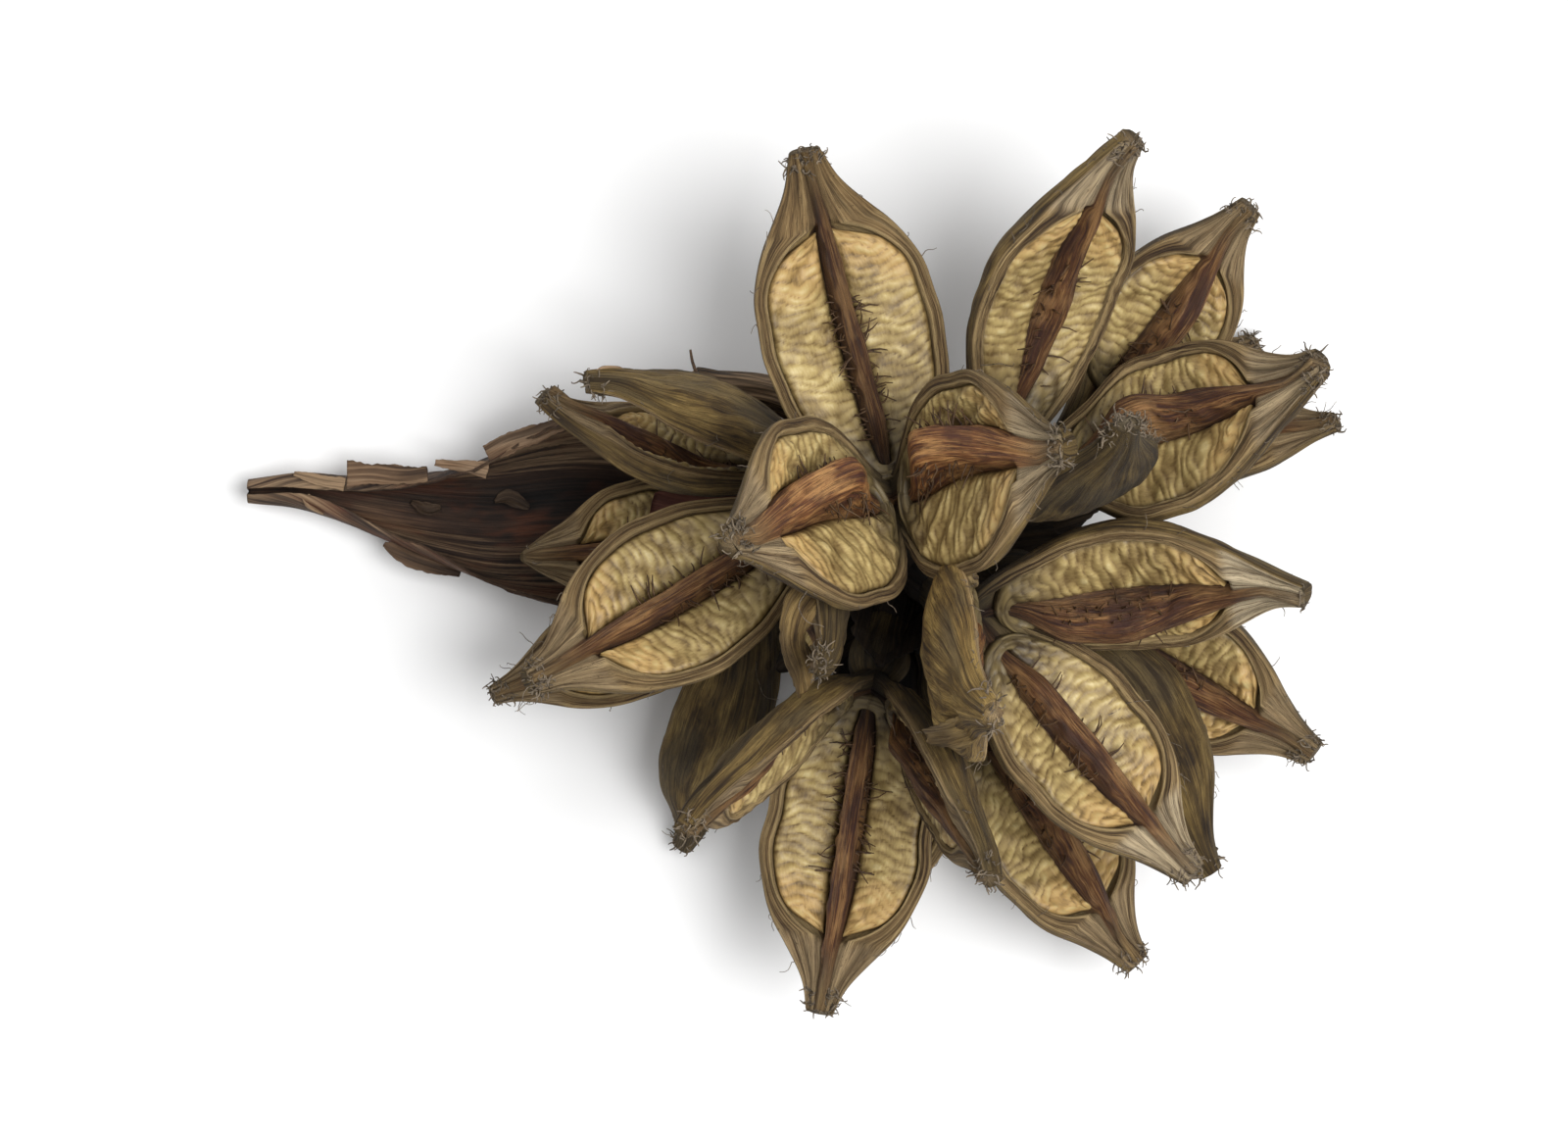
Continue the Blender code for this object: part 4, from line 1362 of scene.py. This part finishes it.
@dataclass
class Bract:
    """The boat-shaped sheath, rolled shut at its point.

    Each section has its place x, the middle and the radius of its arc, the angles from straight down
    to its far and near edges, and how high it lies.
    """

    sections: tuple = (
        (-155, 23.0, 3.8, 172, 172, 5.0), (-141, 23.0, 5.2, 165, 170, 4.0), (-127, 20.0, 7.0, 155, 160, 2.5),
        (-113, 17.5, 9.5, 140, 138, 1.0), (-99, 15.5, 13.0, 122, 118, 0.0), (-84, 14.5, 18.5, 112, 96, 0.0),
        (-70, 15.5, 24.0, 100, 92, 0.0), (-57, 16.0, 28.0, 100, 78, 0.0), (-42, 14.5, 31.0, 92, 70, 0.0),
        (-26, 12.0, 32.0, 90, 62, 0.0), (-10, 9.5, 32.0, 82, 60, 0.0), (6, 6.0, 31.0, 74, 66, 0.0),
        (22, 3.0, 30.0, 66, 72, 0.0), (36, 1.0, 27.0, 62, 72, 0.0), (44, 1.0, 25.0, 62, 68, 0.0),
    )
    thick: float = 1.8
    least_level: float = 0.8
    rows: int = 190
    columns: int = 44
    far_tears: tuple[Relief, Relief] = (Relief(3.5, 24.0, 1.0), Relief(0.9, 2.6, 1.0, 1))
    near_tears: tuple[Relief, Relief] = (Relief(4.5, 28.0, 1.0, 2), Relief(1.2, 2.2, 1.0, 3))
    ribs: tuple[Relief, Relief] = (Relief(0.30, 3.2, 120.0, 4), Relief(0.5, 12.0, 70.0, 5))
    smooth_belly: float = 50.0
    slit_at: float = 21.5
    slit_width: float = 4.0

    def build(self, finishes: Finishes) -> Object:
        """The sheath's mesh, standing for its solid."""
        table = np.array(self.sections)
        x = np.linspace(table[0, 0], table[-1, 0], self.rows)
        middle, radius, far, near, lift = curve_through(table[:, 0], table[:, 1:], x).T[..., None]
        x = x[:, None]
        far = np.radians(far + sum(tear.at(Seed.BRACT, x, 0.0) for tear in self.far_tears))
        near = np.radians(near + sum(tear.at(Seed.BRACT, x, 0.0) for tear in self.near_tears))
        s = np.linspace(0.0, 1.0, self.columns)[None, :]
        angle = blend(-near, far, s)
        way = angle * radius
        ribs = sum(rib.at(Seed.BRACT, way, x) for rib in self.ribs)
        inner = radius - self.thick * (0.35 + 0.65 * np.sin(math.pi * np.clip(s, 0.02, 0.98)) ** 0.4)
        loose = np.clip(1.0 - np.abs(angle) / np.radians(self.smooth_belly), 0.0, 1.0)
        outside, inside = (
            np.stack([np.broadcast_to(x, angle.shape), middle + size * np.sin(angle),
                      np.maximum(lift + radius - size * np.cos(angle), least)], axis=2)
            for size, least in ((radius + ribs * (1.0 - loose) - 0.1, 0.0), (inner + ribs, self.least_level))
        )
        net = there_and_back(outside, inside)
        grain = grain_at(there_and_back(way, way + 200.0), x, 3.0)
        marks = {"grain": grain, **self._wear_and_shade(x, s, radius, inside[..., 1])}
        made = skin("bract_sheath", net, marks, finishes.bract)
        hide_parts("bract")
        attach(made, BODY)
        return made

    def _wear_and_shade(self, x: Numbers, s: Numbers, radius: Numbers, y: Numbers) -> Marks:
        """Where the sheath is worn pale, where its inside is paler, and where shade is painted in it.

        Args:
            x: Place of each row.
            s: Share of the way from the near edge to the far one.
            radius: Radius of each row.
            y: How far back each point of the inside lies.

        Returns:
            The marks of the outside and then of the inside.
        """
        brim = np.broadcast_to(1.0 - smooth(0.0, 0.10, np.minimum(s, 1.0 - s)), y.shape)
        point = 1.0 - smooth(-150.0, -95.0, x)
        far_wall = smooth(0.02, 0.36, (y - 24.0) / radius)
        near_wall = smooth(0.12, 0.75, (19.0 - y) / radius)
        # The inside is paler along its brim and up its walls
        inner_paler = np.maximum(0.35 * brim, 0.62 * far_wall + 0.46 * near_wall)
        worn = there_and_back(0.30 + 0.12 * brim, inner_paler) + 0.25 * point
        # Painted shade: the inside is dark in the slit of the rolled point and on the hollow's floor away
        # from the far wall
        slit = np.exp(-(((y - self.slit_at) / self.slit_width) ** 2)) * smooth(-152.0, -138.0, x)
        deep_shade = np.clip(0.85 * slit + 0.30 * (1.0 - far_wall) * smooth(-120.0, -40.0, x), 0.0, 1.0)
        return {"worn": worn, "dusk": there_and_back(np.zeros(y.shape), deep_shade)}


@dataclass
class Stalk:
    """The woody heart, the stalks to every capsule and the bare side branch."""

    heart_radius: float = 12.0
    heart_rows: int = 24
    foot: Place = (42.0, 1.0, 5.3)
    top: Place = (30.0, 1.0, 44.0)
    root_radii: tuple[float, float] = (9.0, 10.5)
    stem_radii: tuple[float, float] = (5.5, 6.0)
    stem_start: float = 16.9
    stem_rows: int = 20
    branch: tuple[Place, ...] = ((30, 6, 32), (20, 32, 25), (0, 48, 36), (-22, 52, 42), (-25, 52.5, 42.8))
    branch_radius: float = 4.3
    branch_end: float = 1.7
    branch_rows: int = 60

    def build(self, finishes: Finishes) -> Object:
        """The stalk's mesh, standing for its solid."""
        bark = finishes.stalk
        pieces = [self._rod(np.array(self.top), np.array(self.foot), self.root_radii, bark, Seed.STALK)]
        turn = np.linspace(-0.98, 0.98, self.heart_rows)
        line = HEART + np.multiply.outer(turn * self.heart_radius, np.array((0.0, 0.0, 1.0)))
        pieces.append(tube("heart", line, self.heart_radius * np.sqrt(1.0 - turn ** 2), bark, Seed.HEART))
        for number, capsule in enumerate(CAPSULES):
            base = np.array(capsule.base, float)
            start = base + unit(HEART - base) * self.stem_start
            pieces.append(self._rod(start, HEART, self.stem_radii, bark, Seed.STEMS + number))
        s = np.linspace(0.0, 1.0, self.branch_rows)
        line = curve_through(np.linspace(0.0, 1.0, len(self.branch)), self.branch, s)
        radius = blend(self.branch_radius, self.branch_end, smooth(0.985, 1.0, s))
        pieces.append(tube("branch", line, radius, bark, Seed.BRANCH, relief=0.6, dusk=-1.2, worn=0.5))
        made = joined("woody_stalk", pieces)
        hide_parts("stalk")
        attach(made, BODY)
        return made

    def _rod(self, start: Numbers, end: Numbers, radii: tuple[float, float], finish: Material,
             seed: int) -> Object:
        """A straight tapered stem."""
        s = np.linspace(0.0, 1.0, self.stem_rows)
        return tube("stem", start + np.multiply.outer(s, end - start), blend(*radii, s), finish, seed)


@dataclass(frozen=True)
class Strip:
    """A thin torn strip, by the points of its middle line, its half-widths and the way it faces."""

    middle: tuple
    half: tuple[float, ...]
    faces: Place = (0.0, 0.0, 1.0)
    curl: float = 0.3
    thick: float = 0.7
    worn: float = 0.5
    dusk: float = 0.0
    rows: int = 38
    columns: int = 10
    tears: tuple[Relief, Relief] = (Relief(0.14, 9.0, 1.0), Relief(0.07, 2.0, 1.0, 2))
    crumple: Relief = Relief(0.35, 5.0, 12.0, 2)

    def build(self, finish: Material, seed: int) -> Object:
        """The strip's mesh.

        Args:
            finish: Its material.
            seed: Start of the random draw.

        Returns:
            The object.
        """
        where = np.linspace(0.0, 1.0, len(self.middle))
        fine = np.linspace(0.0, 1.0, self.rows)
        line = curve_through(where, self.middle, fine)
        half = curve_through(where, self.half, fine)[:, None]
        run = unit(np.gradient(line, axis=0))
        side = unit(np.cross(run, np.array(self.faces, float)))
        up = np.cross(side, run)[:, None, :]
        s = np.linspace(-1.0, 1.0, self.columns)[None, :]
        length = length_along(line)[:, None]
        left, right = (1.0 + sum(tear.at(seed + k, length, 0.0) for tear in self.tears) for k in (0, 1))
        reach = half * np.where(s > 0, left, right) * s
        rise = self.curl * half * s ** 2 + self.crumple.at(seed, s * 6.0, length)
        sheet = line[:, None, :] + reach[..., None] * side[:, None, :] + rise[..., None] * up
        thin = self.thick * (0.25 + 0.75 * np.sqrt(1.0 - np.clip(np.abs(s), 0.0, 0.999) ** 2))
        below = sheet - thin[..., None] * up
        net = there_and_back(sheet, below)
        grain = grain_at(there_and_back(reach, reach + 60.0), length, seed * 1.7)
        marks = even_marks(grain, rim=0.4, band=0.5, worn=self.worn, dusk=self.dusk)
        return skin("strip", net, marks, finish)


def strips(name: str, found: list[Strip], finish: Material, seed: int) -> Object:
    """Several strips as one piece, each with random draws of its own."""
    return joined(name, [strip.build(finish, seed + 5 * number) for number, strip in enumerate(found)])


@dataclass
class Trimmings:
    """Small loose things: papery scale, torn flakes, a twig and stray threads.

    The scale has its points and half-widths. A leaf has its end's x and y, its half-width and its
    end's height. A flake has its pixels with their heights, its half-widths, its curl, how worn it is
    and its painted shade. A thread has its pixel, its length and its direction.
    """

    scale: tuple = (
        ((15.5, 6, 40.3), 2.0), ((4, 8.5, 43.5), 2.8), ((-5, 12, 44), 4.2), ((-11, 14, 43), 6.5),
        ((-20, 15, 42), 8.6), ((-29, 17, 42), 7.4), ((-37, 19, 43), 2.5),
    )
    leaf_root: Place = (34.0, 1.0, 24.0)
    leaf_places: tuple[float, ...] = (0.15, 0.45, 0.75, 1.0)
    leaf_arch: float = 5.0
    leaf_ends: tuple = (
        (86, 6, 9.0, 34), (92, 20, 7.0, 26), (50, 48, 9.0, 26), (28, 56, 9.0, 24), (-2, -28, 9.0, 38),
        (14, -52, 9.0, 34), (38, -60, 9.0, 36), (66, -46, 8.0, 44), (88, -24, 7.0, 40), (4, 44, 8.0, 30),
        (26, -26, 12.0, 62), (58, -6, 11.0, 66),
    )
    flake_faces: Place = (0.0, 0.2, 1.0)
    flakes: tuple = (
        (((354, 484, 15.2), (380, 483, 16.4), (410, 486, 17.4), (436, 483, 18.8)),
         (3.8, 3.2, 2.8, 2.0), 0.1, 0.45, 0.0),
        (((444, 472, 20), (470, 475, 22), (498, 480, 24.8)), (1.0, 1.7, 2.6), 0.1, 0.3, 0.0),
        (((497, 464, 24.6), (520, 452, 26), (545, 444, 27.5), (585, 428, 31.5)),
         (2.6, 3.0, 2.8, 1.6), 0.2, 0.25, 0.2),
        (((300, 483, 14.5), (330, 491, 15.2), (352, 494, 16)), (0.8, 1.6, 2.0), 0.2, 0.8, 0.0),
        (((312, 506, 14), (318, 514, 14), (330, 524, 13)), (1.2, 1.6, 0.6), 0.2, 1.0, 0.0),
        (((392, 555, 14), (405, 562, 13), (430, 572, 12), (470, 584, 12)),
         (0.8, 2.4, 3.0, 1.5), 0.1, 0.2, 0.3),
        # Painted shade on the two flakes that lie low in the bract's hollow
        (((420, 512, 4), (436, 520, 4), (450, 518, 4)), (0.6, 2.0, 0.8), 0.6, 0.0, 0.9),
        (((505, 512, 4.5), (520, 508, 4.5), (540, 518, 5)), (0.6, 2.4, 0.8), 0.6, 0.0, 1.0),
    )
    threads: tuple = (
        (940, 262, 6, (0.3, 1.0, 0.2)), (762, 292, 5, (1.0, 0.0, 0.1)),
        (1075, 478, 12, (-0.6, 0.9, 0.1)), (905, 612, 5, (0.2, -1.0, 0.2)),
        (1120, 735, 16, (0.6, 0.5, 0.2)), (700, 800, 14, (0.9, 0.3, 0.1)),
        (770, 672, 18, (0.8, -0.5, 0.1)), (828, 596, 16, (-0.4, -0.9, 0.1)),
        (1000, 372, 12, (0.8, -0.1, 0.1)), (548, 700, 10, (-0.9, 0.1, 0.0)),
        (1180, 880, 12, (0.7, -0.5, 0.1)), (800, 440, 14, (-0.7, 0.4, 0.1)),
    )

    def build(self, finishes: Finishes) -> list[Object]:
        """All trimmings."""
        scale = [Strip(*zip(*self.scale), curl=0.35, worn=0.1)]
        scale = strips("dry_scale", scale, finishes.scale, Seed.SCALE)
        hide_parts("scale")
        slots = (
            (scale, "scale"),
            (strips("bract_flakes", self._flakes(), finishes.flake, Seed.FLAKES), "bract"),
            (strips("torn_flaps", self._flaps(), finishes.husk, Seed.FLAPS), "husk"),
            (strips("shaded_inner_bracts", self._leaves(), finishes.stalk, Seed.LEAVES), "stalk"),
            (self._threads(finishes.tuft), "husk"),
            (self._twig(finishes.bristle), "stalk"),
        )
        for piece, slot in slots:
            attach(piece, BODY)
        return [piece for piece, _ in slots]

    def _leaves(self) -> list[Strip]:
        """Papery bracts between the capsules' stalks, darkened with painted shade, which close the heart of
        the head where shade falls.
        """
        found = []
        for x, y, half, rise in self.leaf_ends:
            root, end = np.array(self.leaf_root), np.array((x, y, rise))
            arch = np.array((0.0, 0.0, self.leaf_arch))
            middle = tuple(blend(root, end, share) + arch * share * (1.0 - share)
                           for share in self.leaf_places)
            # Painted shade: each bract is darkened as the shade in the heart
            found.append(Strip(middle, (3.0, half, 0.9 * half, 1.2), worn=0.0, dusk=0.7))
        return found

    def _flakes(self) -> list[Strip]:
        """Torn flakes on the bract's edges and in its hollow, and a torn curl at an upper valve's tip."""
        curl_at_tip = Strip(pixels((600, 392, 85), (618, 381, 84), (638, 386, 80), (650, 398, 76)),
                            (0.8, 1.8, 1.8, 0.8), (0.3, 0.5, 1.0), curl=0.8, worn=1.0)
        return [*(Strip(pixels(*places), half, self.flake_faces, curl=curl, worn=worn, dusk=dusk)
                  for places, half, curl, worn, dusk in self.flakes), curl_at_tip]

    def _flaps(self) -> list[Strip]:
        """Curled husk flaps that hang from two of the upper valves."""
        return [
            Strip(pixels((835, 588, 112), (812, 622, 118), (806, 655, 114), (816, 688, 106), (818, 708, 100)),
                  (2.0, 4.5, 4.0, 4.5, 1.5), (0.5, 0.2, 1.0), curl=0.5, thick=1.1),
            Strip(pixels((1016, 722, 142), (995, 738, 138), (970, 747, 130), (945, 750, 122)),
                  (2.0, 3.4, 3.8, 1.6), (-0.5, -0.4, 1.0), curl=0.6, thick=1.1),
        ]

    def _threads(self, finish: Material) -> Object:
        """Stray threads, each from a place where the picture shows one."""
        draw = np.random.default_rng(Seed.THREADS)
        strands = Strands("stray_threads")
        for x, y, length, run in self.threads:
            root = seen_at(x, y)
            if root is not None:
                strands.add(wander(draw, root, run, length, 14, 0.25), 0.16, 0.09)
        return strands.build(finish)

    def _twig(self, finish: Material) -> Object:
        """A thin broken twig on the bare side branch."""
        strands = Strands("broken_twig")
        draw = np.random.default_rng(Seed.TWIG)
        strands.add(wander(draw, at_pixel(718, 392, 50), (-0.6, 0.85, 0.25), 10.5, 6, 0.06), 0.62, 0.34)
        return strands.build(finish)


@dataclass
class Studio:
    """Pale floor, soft lights and the camera above the head. Its places and sizes are in metres."""

    floor_size: float = 6.0
    floor_colour: Colour = (0.86, 0.86, 0.86)
    floor_rough: float = 0.9
    sky: float = 0.43
    lamps: tuple = (("key", (0.50, -0.10, 1.25), 0.75, 19.0), ("fill", (-0.6, 0.5, 1.4), 1.2, 5.0))

    def build(self) -> None:
        """Make everything that isn't part of the head."""
        bpy.context.scene.view_settings.view_transform = "Standard"
        self._floor()
        self._lights()
        self._camera()

    def _floor(self) -> None:
        """A wide plain floor."""
        bpy.ops.object.select_all(action="DESELECT")
        bpy.ops.mesh.primitive_plane_add(size=self.floor_size)
        floor = bpy.context.object
        floor.name = "pale_floor"
        shader = Shader("pale_floor")
        shader.feed(shader.surface, {"Base Color": (*self.floor_colour, 1.0), "Roughness": self.floor_rough})
        floor.data.materials.append(shader.material)

    def _lights(self) -> None:
        """An even sky and two large soft boxes, each with its place, size and power."""
        world = bpy.data.worlds.new("studio")
        world.use_nodes = True
        world.node_tree.nodes["Background"].inputs["Color"].default_value = (1.0, 1.0, 1.0, 1.0)
        world.node_tree.nodes["Background"].inputs["Strength"].default_value = self.sky
        bpy.context.scene.world = world
        for name, place, size, power in self.lamps:
            data = bpy.data.lights.new(name, "AREA")
            data.size = size
            data.energy = power
            lamp = bpy.data.objects.new(name, data)
            lamp.location = place
            lamp.rotation_euler = (-Vector(place)).to_track_quat("-Z", "Y").to_euler()
            bpy.context.scene.collection.objects.link(lamp)

    def _camera(self) -> None:
        """The camera, straight above the picture's middle."""
        data = bpy.data.cameras.new("camera")
        data.sensor_width = SENSOR
        data.lens = SENSOR * (CAMERA_HEIGHT - SHARP_PLANE) / (PICTURE_WIDTH * PIXEL)
        camera = bpy.data.objects.new("camera", data)
        camera.location = (np.array((0.0, 0.0, CAMERA_HEIGHT)) + CENTRING) * MM
        bpy.context.scene.collection.objects.link(camera)
        bpy.context.scene.camera = camera


def main() -> None:
    """Build the studio and the head, and report each piece."""
    logging.basicConfig(level=logging.INFO, format="%(message)s")
    Studio().build()
    finishes = Finishes()
    pieces = [Bract().build(finishes), Stalk().build(finishes)]
    for number, capsule in enumerate(CAPSULES, 1):
        pieces += capsule.build(finishes, number)
    pieces += Trimmings().build(finishes)
    for piece in pieces:
        log.info("%s: %d faces", piece.name, len(piece.data.polygons))


if __name__ == "__main__":
    main()
